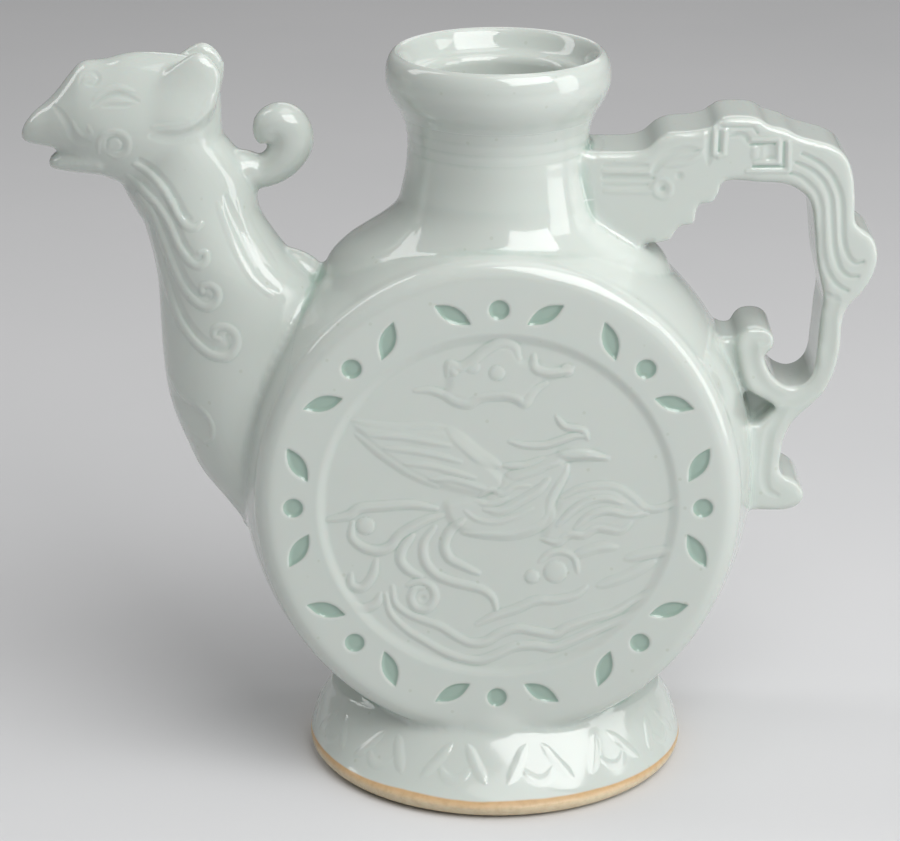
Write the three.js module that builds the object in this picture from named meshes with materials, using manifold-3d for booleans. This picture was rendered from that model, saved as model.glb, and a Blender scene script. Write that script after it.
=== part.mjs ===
// Celadon moon-flask ewer: a flat round flask on a flared foot, with a rolled mouth,
// a spout in the form of a bird's neck and head, and a fretted, ribbed strap handle.
// Millimetres, +Z up. The front of the flask faces -Y and the beak points along -X.
import * as THREE from 'three';
import { mergeVertices } from 'three/addons/utils/BufferGeometryUtils.js';
import Module from 'manifold-3d';

const wasm = await Module();
wasm.setup();

// Overall height, and what all pieces share
const ewerHeight = 201.6;
const wall = 4.5;
const seam = 0.3;
const overrun = 8;

// Mouth and neck, hung from the ewer's height
const mouthHeight = 17;
const rollDrop = 6.2;
const collarOverhang = 5.9;
const lipWidth = 2.8;
const ledgeWidth = 1.8;
const ledgeDepth = 6.4;
const neckWall = 3.7;
const neckHeight = 21;
const neckFlare = 1.9;
const neckTopRadius = 24.3;
const neckFootRadius = neckTopRadius + neckFlare;
const collarRadius = neckTopRadius + collarOverhang;
const boreRadius = neckTopRadius - neckWall;
const ledgeRadius = boreRadius + ledgeWidth;
const lipRadius = ledgeRadius + lipWidth;
const turnedLineRadius = 0.35;
const turnedLineSpacing = 4.4;
const turnedLineRise = 3.6;
const collarFootHeight = ewerHeight - mouthHeight;
const collarWidestHeight = ewerHeight - rollDrop;
const neckFootHeight = collarFootHeight - neckHeight;
const turnedLineHeight = neckFootHeight + turnedLineRise;

// Flask, which fills what the foot and the neck leave of the height
const flaskHalfWidth = 71;
const flaskHalfDepth = 35.5;
const flaskFootHeight = 9.6;
const flaskTopDrop = 4;
const flaskCrown = 7.4;
const flaskEdgeRound = 5.5;
const flaskHalfHeight = (neckFootHeight - flaskTopDrop - flaskFootHeight) / 2;
const flaskCentreHeight = flaskFootHeight + flaskHalfHeight;

// Shoulder between the neck and the flask, set in from the flask's side and face
const shoulderHeight = 25;
const shoulderSideInset = 23.5;
const shoulderFaceInset = 0.9;
const shoulderFootHeight = neckFootHeight - shoulderHeight;
const shoulderHalfWidth = flaskHalfWidth - shoulderSideInset;
const shoulderHalfDepth = flaskHalfDepth - shoulderFaceInset;

// Relief panel and the ring of cuts round it
const medallionInset = 21.2;
const medallionMargin = 24.453;
const medallionRadius = flaskHalfWidth - medallionInset;
const medallionHeightShare = (flaskHalfHeight - medallionMargin) / medallionRadius;
const medallionSeatDepth = 2.4;
const medallionFieldDepth = 1.2;
const medallionBorder = 1.8;
const cutRingWidth = 5.1;
const cutRingRadius = medallionRadius + cutRingWidth;
const cutDepth = 1.3;
const dotRadius = 2.75;
const leafHalfLength = 4.6;
const leafHalfWidth = 1.9;
const dotCount = 8;
const leafAngle = THREE.MathUtils.degToRad(12.8);
const leafSplay = THREE.MathUtils.degToRad(27);

// Foot
const footRadius = 53;
const footStandInset = 4.8;
const footBandHeight = 4;
const footLipRise = 9.4;
const footLipHeight = flaskFootHeight + footLipRise;
const footLipSideInset = 24.2;
const footLipFaceOffset = 0.4;
const footLipHalfWidth = flaskHalfWidth - footLipSideInset;
const footLipHalfDepth = flaskHalfDepth + footLipFaceOffset;
const footStandRadius = footRadius - footStandInset;
const footRise = 9;
const footWall = 4.6;
const footHollowHeight = 12.4;
const footLipSideWall = 7.8;
const footLipFaceWall = 2.9;
const footHollowTopHalfWidth = footLipHalfWidth - footLipSideWall;
const footHollowTopHalfDepth = footLipHalfDepth - footLipFaceWall;

// Bird's neck, standing off the flask's side
const birdNeckStandoff = 30.2;
const birdNeckDrop = 17.9;
const birdNeckTopDrop = 20;
const birdNeckHalfDepth = 22.5;
const birdNeckReach = flaskHalfWidth + birdNeckStandoff;
const birdNeckFootHeight = flaskCentreHeight - birdNeckDrop;
const birdNeckTopHeight = collarFootHeight - birdNeckTopDrop;

// Head, beaks and ears, carried by the bird's neck
const beakOverhang = 26.7;
const headBackSetback = 27.2;
const headHeight = 36.9;
const headHalfWidth = 13.5;
const lowerBeakSetback = 7.3;
const lowerBeakLength = 11.5;
const lowerBeakRise = 4.5;
const lowerBeakHeight = 5.1;
const lowerBeakHalfWidth = 5.4;
const earHeight = 17.9;
const earLength = 12.5;
const earThickness = 6.4;
const channelFootRadius = 10.6;
const pourRadius = 3.1;
const pourRise = 8.4;
const beakReach = birdNeckReach + beakOverhang;
const headBackReach = birdNeckReach - headBackSetback;
const lowerBeakReach = beakReach - lowerBeakSetback;
const lowerBeakBase = birdNeckTopHeight + lowerBeakRise;
const pourHeight = birdNeckTopHeight + pourRise;

// Plume behind the head, and the nape's lobe on the shoulder
const plumeRadius = 6.3;
const plumeRise = 22;
const plumeReach = 22;
const plumeSetback = 3.5;
const plumeRootRise = 2.5;
const napeRadius = 5.2;
const napeReach = 10;
const napeReachShare = 0.5879447;
const napeRootShare = 0.7957099;
const plumeRootReach = headBackReach - plumeSetback;
const plumeRootHeight = birdNeckTopHeight + plumeRootRise;
const napeRootReach = birdNeckReach * napeReachShare;
const napeRootHeight = birdNeckFootHeight + (birdNeckTopHeight - birdNeckFootHeight) * napeRootShare;

// Handle, from inside the neck out past the flask's side and back to it
const handleHalfDepth = 11.4;
const handleEdgeRound = 1.5;
const combEdgeRound = 0.8;
const handleRootSink = 4.3;
const handleTopRise = 1;
const handleFootDrop = 10.6;
const kneeStandoff = 31.2;
const webHalfDepth = 3.5;
const grooveRadius = 0.85;
const fretWidth = 1.3;
const kneeReach = flaskHalfWidth + kneeStandoff;
const handleRootReach = neckTopRadius - handleRootSink;
const handleTopHeight = collarFootHeight + handleTopRise;
const handleFootHeight = flaskCentreHeight - handleFootDrop;

// Where the handle's lengths part: shares of its reach and of its height
const bracketEndShare = 0.4622871;
const strapFootShare = 0.4892473;
const tailTopShare = 0.2732975;
const handleBracketEnd = handleRootReach + (kneeReach - handleRootReach) * bracketEndShare;
const strapFootHeight = handleFootHeight + (handleTopHeight - handleFootHeight) * strapFootShare;
const tailTopHeight = handleFootHeight + (handleTopHeight - handleFootHeight) * tailTopShare;

// Colour and finish
const glazeColour = 0xbdd2c5;
const footColour = 0xb7cbb9;
const glazeRoughness = 0.22;

// Section power of the bird's neck and head: 2 is an ellipse, more is squarer
const birdPower = 2.2;

// Facets
const roundSegments = 38;
const boreSegments = 24;
const birdSegments = 22;
const tubeSegments = 12;

function toSolid(geometry, merge = true) {
  const bare = new THREE.BufferGeometry();
  bare.setAttribute('position', geometry.getAttribute('position'));
  if (geometry.index) bare.setIndex(geometry.index);
  const merged = merge ? mergeVertices(bare) : bare;
  const corners = merged.getAttribute('position').array;
  const faces = [];
  let volume = 0;
  const a = new THREE.Vector3();
  const b = new THREE.Vector3();
  const c = new THREE.Vector3();
  for (let i = 0; i < merged.index.count; i += 3) {
    const [p, q, r] = [0, 1, 2].map((k) => merged.index.getX(i + k));
    if (p === q || q === r || r === p) continue;
    faces.push(p, q, r);
    a.fromArray(corners, p * 3);
    b.fromArray(corners, q * 3);
    c.fromArray(corners, r * 3);
    volume += a.dot(b.cross(c));
  }
  if (volume < 0) faces.reverse();
  const mesh = new wasm.Mesh({
    numProp: 3,
    vertProperties: new Float32Array(corners),
    triVerts: new Uint32Array(faces),
  });
  return new wasm.Manifold(mesh);
}

function toGeometry(solid) {
  const mesh = solid.getMesh();
  const geometry = new THREE.BufferGeometry();
  geometry.setAttribute('position', new THREE.BufferAttribute(new Float32Array(mesh.vertProperties), 3));
  geometry.setIndex(new THREE.BufferAttribute(new Uint32Array(mesh.triVerts), 1));
  geometry.computeVertexNormals();
  return geometry;
}

// A closed solid through rings of equally many points
function loft(rings) {
  const count = rings[0].length;
  const positions = [];
  const index = [];
  for (const ring of rings) {
    for (const point of ring) positions.push(point.x, point.y, point.z);
  }
  for (let i = 0; i < rings.length - 1; i += 1) {
    for (let j = 0; j < count; j += 1) {
      const k = (j + 1) % count;
      const here = i * count;
      const next = here + count;
      index.push(here + j, here + k, next + k, here + j, next + k, next + j);
    }
  }
  for (const [ring, flip] of [[0, true], [rings.length - 1, false]]) {
    const centre = new THREE.Vector3();
    for (const point of rings[ring]) centre.add(point);
    centre.divideScalar(count);
    const hub = positions.length / 3;
    positions.push(centre.x, centre.y, centre.z);
    for (let j = 0; j < count; j += 1) {
      const here = ring * count + j;
      const next = ring * count + ((j + 1) % count);
      if (flip) index.push(hub, next, here);
      else index.push(hub, here, next);
    }
  }
  const geometry = new THREE.BufferGeometry();
  geometry.setAttribute('position', new THREE.Float32BufferAttribute(positions, 3));
  geometry.setIndex(index);
  return toSolid(geometry);
}

// One ring of a loft: an oval, squarer as its power rises above 2
function ovalRing(centre, across, up, halfAcross, halfUp, power, count) {
  const ring = [];
  for (let j = 0; j < count; j += 1) {
    const angle = (2 * Math.PI * j) / count;
    const cos = Math.cos(angle);
    const sin = Math.sin(angle);
    const x = Math.sign(cos) * Math.abs(cos) ** (2 / power) * halfAcross;
    const y = Math.sign(sin) * Math.abs(sin) ** (2 / power) * halfUp;
    ring.push(centre.clone().addScaledVector(across, x).addScaledVector(up, y));
  }
  return ring;
}

const alongX = new THREE.Vector3(1, 0, 0);
const alongY = new THREE.Vector3(0, 1, 0);
const alongZ = new THREE.Vector3(0, 0, 1);

// Level rings between a left and a right side, for what rises along Z
function levelLoft(stations, power, count, grow = 0) {
  return loft(stations.map(([height, left, right, halfDepth]) => {
    const centre = new THREE.Vector3((left + right) / 2, 0, height);
    const halfAcross = (right - left) / 2 + grow;
    return ovalRing(centre, alongX, alongY, halfAcross, halfDepth + grow, power, count);
  }));
}

// A round solid of changing radius along a smooth path in the XZ plane, offset along Y
function taperedTube(points, radii, steps, count, offset = 0, flatten = 1) {
  const path = new THREE.CatmullRomCurve3(points.map(([x, z]) => new THREE.Vector3(x, offset, z)));
  const last = radii.length - 1;
  const rings = [];
  for (let i = 0; i <= steps; i += 1) {
    const share = i / steps;
    const centre = path.getPoint(share);
    const forward = path.getTangent(share);
    const across = new THREE.Vector3().crossVectors(forward, alongY).normalize();
    const at = share * last;
    const low = Math.min(Math.floor(at), last - 1);
    const radius = THREE.MathUtils.lerp(radii[low], radii[low + 1], at - low);
    rings.push(ovalRing(centre, across, alongY, radius, radius * flatten, 2, count));
  }
  return loft(rings);
}

function revolve(points, segments) {
  const profile = points.map(([radius, height]) => new THREE.Vector2(radius, height));
  const geometry = new THREE.LatheGeometry(profile, segments);
  geometry.rotateX(Math.PI / 2);
  return toSolid(geometry);
}

function block(low, high) {
  const size = high.clone().sub(low);
  const geometry = new THREE.BoxGeometry(size.x, size.y, size.z);
  geometry.translate((low.x + high.x) / 2, (low.y + high.y) / 2, (low.z + high.z) / 2);
  return toSolid(geometry);
}

// A flat outline in XZ, as thick as 2 * halfDepth across Y, with both its edges rounded
function plate(outline, halfDepth, round) {
  const contour = outline.getPoints();
  const count = contour.length;
  const wound = THREE.ShapeUtils.isClockWise(contour) ? -1 : 1;
  const inward = contour.map((point, i) => {
    const before = point.clone().sub(contour[(i + count - 1) % count]).normalize();
    const after = contour[(i + 1) % count].clone().sub(point).normalize();
    const bisector = new THREE.Vector2(-(before.y + after.y), before.x + after.x).multiplyScalar(wound);
    return bisector.divideScalar(1 + before.dot(after) + seam / 2);
  });
  const steps = round > 0 ? [0, 0.5, 1] : [1];
  const half = steps.map((step) => {
    const angle = (Math.PI / 2) * step;
    return [halfDepth - round * (1 - Math.cos(angle)), round * (1 - Math.sin(angle))];
  });
  const rings = half.map(([depth, inset]) => [-depth, inset]).concat(half.reverse());
  const positions = [];
  const index = [];
  for (const [depth, inset] of rings) {
    contour.forEach((point, i) => {
      positions.push(point.x + inward[i].x * inset, depth, point.y + inward[i].y * inset);
    });
  }
  for (let i = 0; i + 1 < rings.length; i += 1) {
    for (let j = 0; j < count; j += 1) {
      const k = (j + 1) % count;
      const here = i * count;
      const next = here + count;
      index.push(here + j, here + k, next + k, here + j, next + k, next + j);
    }
  }
  const far = (rings.length - 1) * count;
  for (const [a, b, c] of THREE.ShapeUtils.triangulateShape(contour, [])) {
    const turn = contour[b].clone().sub(contour[a]).cross(contour[c].clone().sub(contour[a]));
    const [p, q] = turn * wound > 0 ? [b, c] : [c, b];
    index.push(a, q, p, far + a, far + p, far + q);
  }
  const geometry = new THREE.BufferGeometry();
  geometry.setAttribute('position', new THREE.Float32BufferAttribute(positions, 3));
  geometry.setIndex(index);
  return toSolid(geometry, false);
}

// Half of a flask section in XY, from the axis at the front to the axis at the back
function flaskProfile(inset) {
  const depth = flaskHalfDepth - inset;
  const round = Math.max(flaskEdgeRound - inset / 2, seam);
  const widest = flaskHalfWidth - inset;
  const wallAt = (y) => widest - flaskCrown * (y / flaskHalfDepth) ** 2;
  const start = depth - round;
  const points = [[0, -depth]];
  for (let i = 0; i <= 3; i += 1) {
    const angle = (Math.PI / 2) * (i / 3);
    points.push([wallAt(start) - round * (1 - Math.sin(angle)), -start - round * Math.cos(angle)]);
  }
  for (let i = 1; i < 6; i += 1) {
    const y = -start + 2 * start * (i / 6);
    points.push([wallAt(y), y]);
  }
  for (let i = 3; i >= 0; i -= 1) {
    const angle = (Math.PI / 2) * (i / 3);
    points.push([wallAt(start) - round * (1 - Math.sin(angle)), start + round * Math.cos(angle)]);
  }
  points.push([0, depth]);
  return points;
}

function flaskSolid(inset) {
  const profile = flaskProfile(inset).map(([radius, depth]) => new THREE.Vector2(radius, depth));
  const geometry = new THREE.LatheGeometry(profile, roundSegments);
  geometry.scale(1, 1, flaskHalfHeight / flaskHalfWidth);
  geometry.translate(0, 0, flaskCentreHeight);
  return toSolid(geometry);
}

// Shoulder: share of the way from the flask up to the neck, and of the way out from neck to flask
const shoulderShares = [
  [0, 1.0, 1.0],
  [0.22, 0.94, 0.96],
  [0.4, 0.74, 0.8],
  [0.52, 0.53, 0.58],
  [0.64, 0.31, 0.38],
  [0.77, 0.12, 0.2],
  [0.9, 0.03, 0.06],
  [1, 0, 0],
];

function shoulderSolid(grow = 0) {
  const rise = neckFootHeight - shoulderFootHeight;
  return levelLoft(shoulderShares.map(([up, across, deep]) => {
    const halfWidth = neckFootRadius + (shoulderHalfWidth - neckFootRadius) * across;
    const halfDepth = neckFootRadius + (shoulderHalfDepth - neckFootRadius) * deep;
    return [shoulderFootHeight + rise * up, -halfWidth, halfWidth, halfDepth];
  }), 2, roundSegments, grow);
}

// Foot, outside: oval lip on the flask, round stand on the table
function footOutside() {
  const bulge = 0.42;
  const stations = [
    [0, footStandRadius, footStandRadius],
    ...[0.2, 0.5, 1].map((share) => {
      const radius = footRadius - (footRadius - footStandRadius) * (1 - Math.sqrt(1 - (1 - share) ** 2));
      return [footBandHeight * share, radius, radius];
    }),
  ];
  for (let i = 1; i <= 4; i += 1) {
    const share = i / 4;
    const ease = share + bulge * share * (share - 1);
    stations.push([
      footBandHeight + (footLipHeight - footBandHeight) * share,
      footRadius + (footLipHalfWidth - footRadius) * ease,
      footRadius + (footLipHalfDepth - footRadius) * share ** 0.8,
    ]);
  }
  stations.push([footLipHeight + footRise, footLipHalfWidth - footRise * 1.6, footLipHalfDepth - footRise]);
  return levelLoft(stations.map(([height, across, deep]) => [height, -across, across, deep]), 2, roundSegments);
}

function footHollow() {
  const reach = footStandRadius - footWall;
  const middleHalfWidth = (reach + footHollowTopHalfWidth) / 2 + seam;
  const middleHalfDepth = (reach + footHollowTopHalfDepth) / 2;
  return levelLoft([
    [-overrun, -reach, reach, reach],
    [0, -reach, reach, reach],
    [footHollowHeight / 2, -middleHalfWidth, middleHalfWidth, middleHalfDepth],
    [footHollowHeight, -footHollowTopHalfWidth, footHollowTopHalfWidth, footHollowTopHalfDepth],
  ], 2, roundSegments);
}

// Bird's neck: shares of its height, of its reach to the left and right, and of its half depth
const birdNeckShares = [
  [0, 0.7, 0.605, 0.3],
  [0.04, 0.712, 0.59, 0.5],
  [0.113, 0.758, 0.57, 0.74],
  [0.195, 0.817, 0.54, 0.91],
  [0.278, 0.853, 0.51, 0.98],
  [0.36, 0.883, 0.49, 1],
  [0.443, 0.9, 0.47, 1],
  [0.546, 0.908, 0.45, 0.97],
  [0.649, 0.911, 0.45, 0.91],
  [0.732, 0.914, 0.48, 0.85],
  [0.804, 0.924, 0.555, 0.8],
  [0.866, 0.938, 0.6, 0.74],
  [0.928, 0.958, 0.634, 0.69],
  [1, 1, 0.645, 0.64],
];

function birdNeckSolid(grow = 0) {
  const rise = birdNeckTopHeight - birdNeckFootHeight;
  return levelLoft(birdNeckShares.map(([up, left, right, deep]) => [
    birdNeckFootHeight + rise * up,
    -birdNeckReach * left,
    -birdNeckReach * right,
    birdNeckHalfDepth * deep,
  ]), birdPower, birdSegments, grow);
}

// Head: shares of its length from the beak back, of its height at the bottom and top, and of its half width
const headShares = [
  [0, 0.345, 0.4, 0.09],
  [0.024, 0.32, 0.473, 0.2],
  [0.069, 0.303, 0.551, 0.3],
  [0.128, 0.289, 0.622, 0.4],
  [0.178, 0.275, 0.695, 0.5],
  [0.265, 0.2, 0.854, 0.66],
  [0.319, 0.13, 0.924, 0.76],
  [0.424, 0.06, 0.94, 0.9],
  [0.548, 0, 0.986, 0.98],
  [0.683, 0, 0.989, 1],
  [0.794, 0, 0.975, 0.95],
  [0.906, 0, 0.93, 0.78],
  [0.97, 0.12, 0.83, 0.5],
  [1, 0.36, 0.7, 0.22],
];

function headSolid(grow = 0) {
  const length = beakReach - headBackReach;
  const rings = headShares.map(([along, bottom, top, wide]) => {
    const centre = new THREE.Vector3(
      -beakReach + length * along,
      0,
      birdNeckTopHeight + (headHeight * (bottom + top)) / 2,
    );
    const halfTall = (headHeight * (top - bottom)) / 2;
    return ovalRing(centre, alongY, alongZ, headHalfWidth * wide + grow, halfTall + grow, birdPower, birdSegments);
  });
  const [, left, right, deep] = birdNeckShares[birdNeckShares.length - 1];
  const chinShares = [0.16, 0, 0.02, 1];
  const crownShares = [0.4, 0.04, 0.09, 0.94];
  const [chin, crown] = [chinShares, crownShares].map(([up, fore, aft, wide]) => [
    birdNeckTopHeight + headHeight * up,
    -birdNeckReach * (left - fore),
    -birdNeckReach * (right + aft),
    headHalfWidth * wide,
  ]);
  const throat = levelLoft([
    [birdNeckTopHeight - overrun, -birdNeckReach * left, -birdNeckReach * right, birdNeckHalfDepth * deep],
    [birdNeckTopHeight, -birdNeckReach * left, -birdNeckReach * right, birdNeckHalfDepth * deep],
    chin,
    crown,
  ], birdPower, birdSegments, grow);
  return loft(rings).add(throat);
}

// Lower beak: shares of its length, half width and height
const lowerBeakShares = [
  [0, 0.36, 0.62],
  [0.12, 0.55, 0.86],
  [0.45, 0.8, 1],
  [1, 1, 1],
];

function lowerBeakSolid() {
  const rings = lowerBeakShares.map(([along, wide, tall]) => {
    const halfHeight = (lowerBeakHeight * tall) / 2;
    const centre = new THREE.Vector3(-lowerBeakReach + lowerBeakLength * along, 0, lowerBeakBase + halfHeight);
    return ovalRing(centre, alongY, alongZ, lowerBeakHalfWidth * wide, halfHeight, 2.4, tubeSegments);
  });
  return loft(rings);
}

// Ear: shares of its height, of its length and thickness, of its lean back, and of the head's half width
const earShares = [
  [0, 0.8, 0.6, 0.08, 0.72],
  [0.25, 1, 1, 0.2, 0.66],
  [0.55, 1, 0.9, 0.27, 0.5],
  [0.82, 0.7, 0.72, 0.25, 0.34],
  [1, 0.3, 0.4, 0.22, 0.24],
];

function earSolid(side) {
  const foot = birdNeckTopHeight + headHeight * 0.56;
  const reach = headBackReach + earLength * 0.75;
  return loft(earShares.map(([up, long, thick, lean, out]) => {
    const centre = new THREE.Vector3(-reach + earLength * lean, side * headHalfWidth * out, foot + earHeight * up);
    return ovalRing(centre, alongX, alongY, (earLength * long) / 2, (earThickness * thick) / 2, 2, tubeSegments);
  }));
}

// Plume: shares of its reach and rise, and of its radius, from the root to the curl
const plumeShares = [
  [0, 0.14, 1],
  [0.29, 0.14, 0.9],
  [0.6, 0.27, 0.78],
  [0.73, 0.54, 0.78],
  [0.63, 0.73, 0.76],
  [0.44, 0.705, 0.78],
  [0.3, 0.66, 0.4],
];

function plumeSolid() {
  const at = (across, up) => [-plumeRootReach + plumeReach * across, plumeRootHeight + plumeRise * up];
  const path = plumeShares.map(([across, up]) => at(across, up));
  const radii = plumeShares.map(([, , thick]) => plumeRadius * thick);
  return taperedTube(path, radii, 14, tubeSegments);
}

// Nape's lobe: shares of its reach, of its radius as a fall, and of its radius
const napeShares = [
  [0, 0, 0.55],
  [0.35, -0.48, 0.92],
  [0.75, -1.06, 1],
  [1.05, -1.7, 0.7],
];

function napeSolid() {
  const at = (across, up) => [-napeRootReach + napeReach * across, napeRootHeight + napeRadius * up];
  const radii = napeShares.map(([, , thick]) => napeRadius * thick);
  return taperedTube(napeShares.map(([across, up]) => at(across, up)), radii, 7, tubeSegments, 0, 1.5);
}

// Pouring channel from the flask through the bird's neck to the beak
function channelSolid() {
  const rise = birdNeckTopHeight - birdNeckFootHeight;
  const height = (share) => birdNeckFootHeight + rise * share;
  const reach = (share) => -birdNeckReach * share;
  const path = [
    [reach(0.5), height(0.26)],
    [reach(0.71), height(0.38)],
    [reach(0.76), height(0.61)],
    [reach(0.8), height(0.82)],
    [reach(0.88), height(0.98)],
    [-lowerBeakReach + lowerBeakLength * 1.1, pourHeight],
    [-beakReach - overrun, pourHeight],
  ];
  const neckRadii = [1, 0.98, 0.9, 0.8, 0.6].map((share) => channelFootRadius * share);
  return taperedTube(path, [...neckRadii, pourRadius, pourRadius], 28, tubeSegments);
}

const outsideFlask = flaskSolid(0);
const insideFlask = flaskSolid(wall);
const clearFlask = flaskSolid(-seam);
const channel = channelSolid();
const bore = revolve([
  [0, flaskCentreHeight],
  [boreRadius, flaskCentreHeight],
  [boreRadius, ewerHeight + overrun],
  [0, ewerHeight + overrun],
], boreSegments);
const birdNeck = birdNeckSolid();
const shoulder = shoulderSolid();

const front = block(
  new THREE.Vector3(-beakReach - overrun, -flaskHalfDepth - overrun, -overrun),
  new THREE.Vector3(kneeReach + overrun, -seam / 2, ewerHeight + overrun),
);
const back = block(
  new THREE.Vector3(-beakReach - overrun, seam / 2, -overrun),
  new THREE.Vector3(kneeReach + overrun, flaskHalfDepth + overrun, ewerHeight + overrun),
);

function disc(radius, front, back, segments) {
  const geometry = new THREE.CylinderGeometry(radius, radius, back - front, segments);
  geometry.scale(1, 1, medallionHeightShare);
  geometry.translate(0, (front + back) / 2, flaskCentreHeight);
  return toSolid(geometry);
}

// The ring of round cuts, each flanked by two leaf-shaped ones
function ringCuts(side) {
  const leaf = new THREE.Shape();
  leaf.moveTo(-leafHalfLength, 0);
  leaf.quadraticCurveTo(0, 2 * leafHalfWidth, leafHalfLength, 0);
  leaf.quadraticCurveTo(0, -2 * leafHalfWidth, -leafHalfLength, 0);
  let cuts = null;
  const place = (geometry, angle, turn) => {
    geometry.rotateX(Math.PI / 2);
    geometry.rotateY(turn);
    const x = Math.cos(angle) * cutRingRadius;
    const z = Math.sin(angle) * cutRingRadius * medallionHeightShare;
    geometry.translate(x, side * flaskHalfDepth, flaskCentreHeight + z);
    const cut = toSolid(geometry);
    cuts = cuts ? cuts.add(cut) : cut;
  };
  for (let i = 0; i < dotCount; i += 1) {
    const angle = (2 * Math.PI * i) / dotCount;
    const dot = new THREE.CylinderGeometry(dotRadius, dotRadius, 2 * cutDepth, 9);
    dot.rotateX(Math.PI / 2);
    place(dot, angle, 0);
    for (const turn of [-1, 1]) {
      const at = angle + turn * leafAngle;
      const options = { depth: 2 * cutDepth, bevelEnabled: false, curveSegments: 3 };
      const blade = new THREE.ExtrudeGeometry(leaf, options);
      blade.translate(0, 0, -cutDepth);
      place(blade, at, -(at + Math.PI / 2 + turn * leafSplay));
    }
  }
  return cuts;
}

function shell(side, half) {
  const face = side * flaskHalfDepth;
  const seatFloor = side * (flaskHalfDepth - medallionSeatDepth);
  const clear = face + side * overrun;
  const seatEnds = [Math.min(seatFloor, clear), Math.max(seatFloor, clear)];
  const seat = disc(medallionRadius + seam, ...seatEnds, roundSegments);
  return outsideFlask
    .add(shoulder)
    .subtract(insideFlask)
    .subtract(bore)
    .subtract(channel)
    .subtract(seat)
    .subtract(ringCuts(side))
    .intersect(half);
}

// Relief panel: a plain field inside a raised border, seated in its shell
function medallion(side) {
  const floor = side * (flaskHalfDepth - medallionSeatDepth + seam);
  const face = side * flaskHalfDepth;
  const field = side * (flaskHalfDepth - medallionFieldDepth);
  const span = (a, b) => [Math.min(a, b), Math.max(a, b)];
  return disc(medallionRadius, ...span(floor, face), roundSegments)
    .subtract(disc(medallionRadius - medallionBorder, ...span(field, face + side * overrun), roundSegments));
}

function neckSolid() {
  const foot = neckFootHeight + seam;
  const points = [[boreRadius, foot], [neckFootRadius, foot]];
  const lines = [turnedLineHeight, turnedLineHeight + turnedLineSpacing];
  const radiusAt = (height) => {
    const share = (height - foot) / (collarFootHeight - foot);
    return neckTopRadius + (neckFootRadius - neckTopRadius) * (1 - share) ** 2;
  };
  for (const line of lines) {
    points.push([radiusAt(line - turnedLineRadius), line - turnedLineRadius]);
    points.push([radiusAt(line) - turnedLineRadius, line]);
    points.push([radiusAt(line + turnedLineRadius), line + turnedLineRadius]);
  }
  const above = lines[1] + turnedLineSpacing;
  points.push([radiusAt(above), above]);
  points.push([neckTopRadius, collarFootHeight], [boreRadius, collarFootHeight], [boreRadius, foot]);
  return revolve(points, roundSegments);
}

// Rolled mouth: cavetto under the roll, round lip, and a ledge sloping in to the bore
function mouthRimSolid() {
  const foot = collarFootHeight + seam;
  const outer = new THREE.CurvePath();
  const v = (radius, height) => new THREE.Vector2(radius, height);
  const flare = collarRadius - neckTopRadius;
  const rise = collarWidestHeight - foot;
  outer.add(new THREE.CubicBezierCurve(
    v(neckTopRadius, foot),
    v(neckTopRadius + flare * 0.12, foot + rise * 0.35),
    v(collarRadius, foot + rise * 0.45),
    v(collarRadius, collarWidestHeight),
  ));
  outer.add(new THREE.CubicBezierCurve(
    v(collarRadius, collarWidestHeight),
    v(collarRadius, collarWidestHeight + (ewerHeight - collarWidestHeight) * 0.55),
    v(collarRadius - (collarRadius - lipRadius) * 0.42, ewerHeight),
    v(lipRadius + (collarRadius - lipRadius) * 0.2, ewerHeight),
  ));
  outer.add(new THREE.CubicBezierCurve(
    v(lipRadius + (collarRadius - lipRadius) * 0.2, ewerHeight),
    v(lipRadius - (lipRadius - ledgeRadius) * 0.3, ewerHeight),
    v(ledgeRadius + (lipRadius - ledgeRadius) * 0.5, ewerHeight - ledgeDepth * 0.95),
    v(ledgeRadius, ewerHeight - ledgeDepth),
  ));
  const points = outer.getPoints(4).map((point) => [point.x, point.y]);
  points.push([boreRadius, ewerHeight - ledgeDepth - (ledgeRadius - boreRadius)]);
  points.push([boreRadius, foot], [neckTopRadius, foot]);
  return revolve(points, roundSegments);
}

// Handle outlines: shares of its reach from the root to the knee, and of its height from tail to top
const bracketTopShares = [
  [0, 0.916], [0.18, 0.915], [0.238, 0.925], [0.274, 0.95], [0.31, 0.963], [0.368, 0.966], [0.411, 0.97],
];
const bracketCombShares = [
  [0.478, 0.815], [0.461, 0.795], [0.426, 0.79], [0.405, 0.768], [0.396, 0.742], [0.368, 0.732], [0.343, 0.724],
  [0.301, 0.698], [0.162, 0.694], [0.078, 0.76], [0, 0.79],
];
const strapOuterShares = [
  [0.455, 0.972], [0.46, 0.99], [0.48, 1], [0.53, 1.003], [0.59, 1], [0.612, 0.99], [0.634, 0.98], [0.683, 0.972],
  [0.727, 0.955], [0.79, 0.942], [0.836, 0.932], [0.875, 0.912], [0.903, 0.875], [0.916, 0.82], [0.919, 0.76],
  [0.921, 0.724], [0.934, 0.708], [0.96, 0.698], [0.983, 0.69], [0.996, 0.676], [1, 0.66], [0.993, 0.643],
  [0.977, 0.611], [0.944, 0.572], [0.909, 0.537], [0.896, 0.511], [0.893, 0.46],
];
const strapInnerShares = [
  [0.819, 0.46], [0.82, 0.49], [0.829, 0.541], [0.824, 0.57], [0.802, 0.64], [0.79, 0.72], [0.776, 0.785],
  [0.75, 0.812], [0.71, 0.832], [0.665, 0.84], [0.592, 0.842], [0.488, 0.846], [0.474, 0.822], [0.458, 0.798],
];
const scrollOuterShares = [
  [0.898, 0.446], [0.891, 0.389], [0.868, 0.338], [0.826, 0.295], [0.773, 0.257],
];
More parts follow.
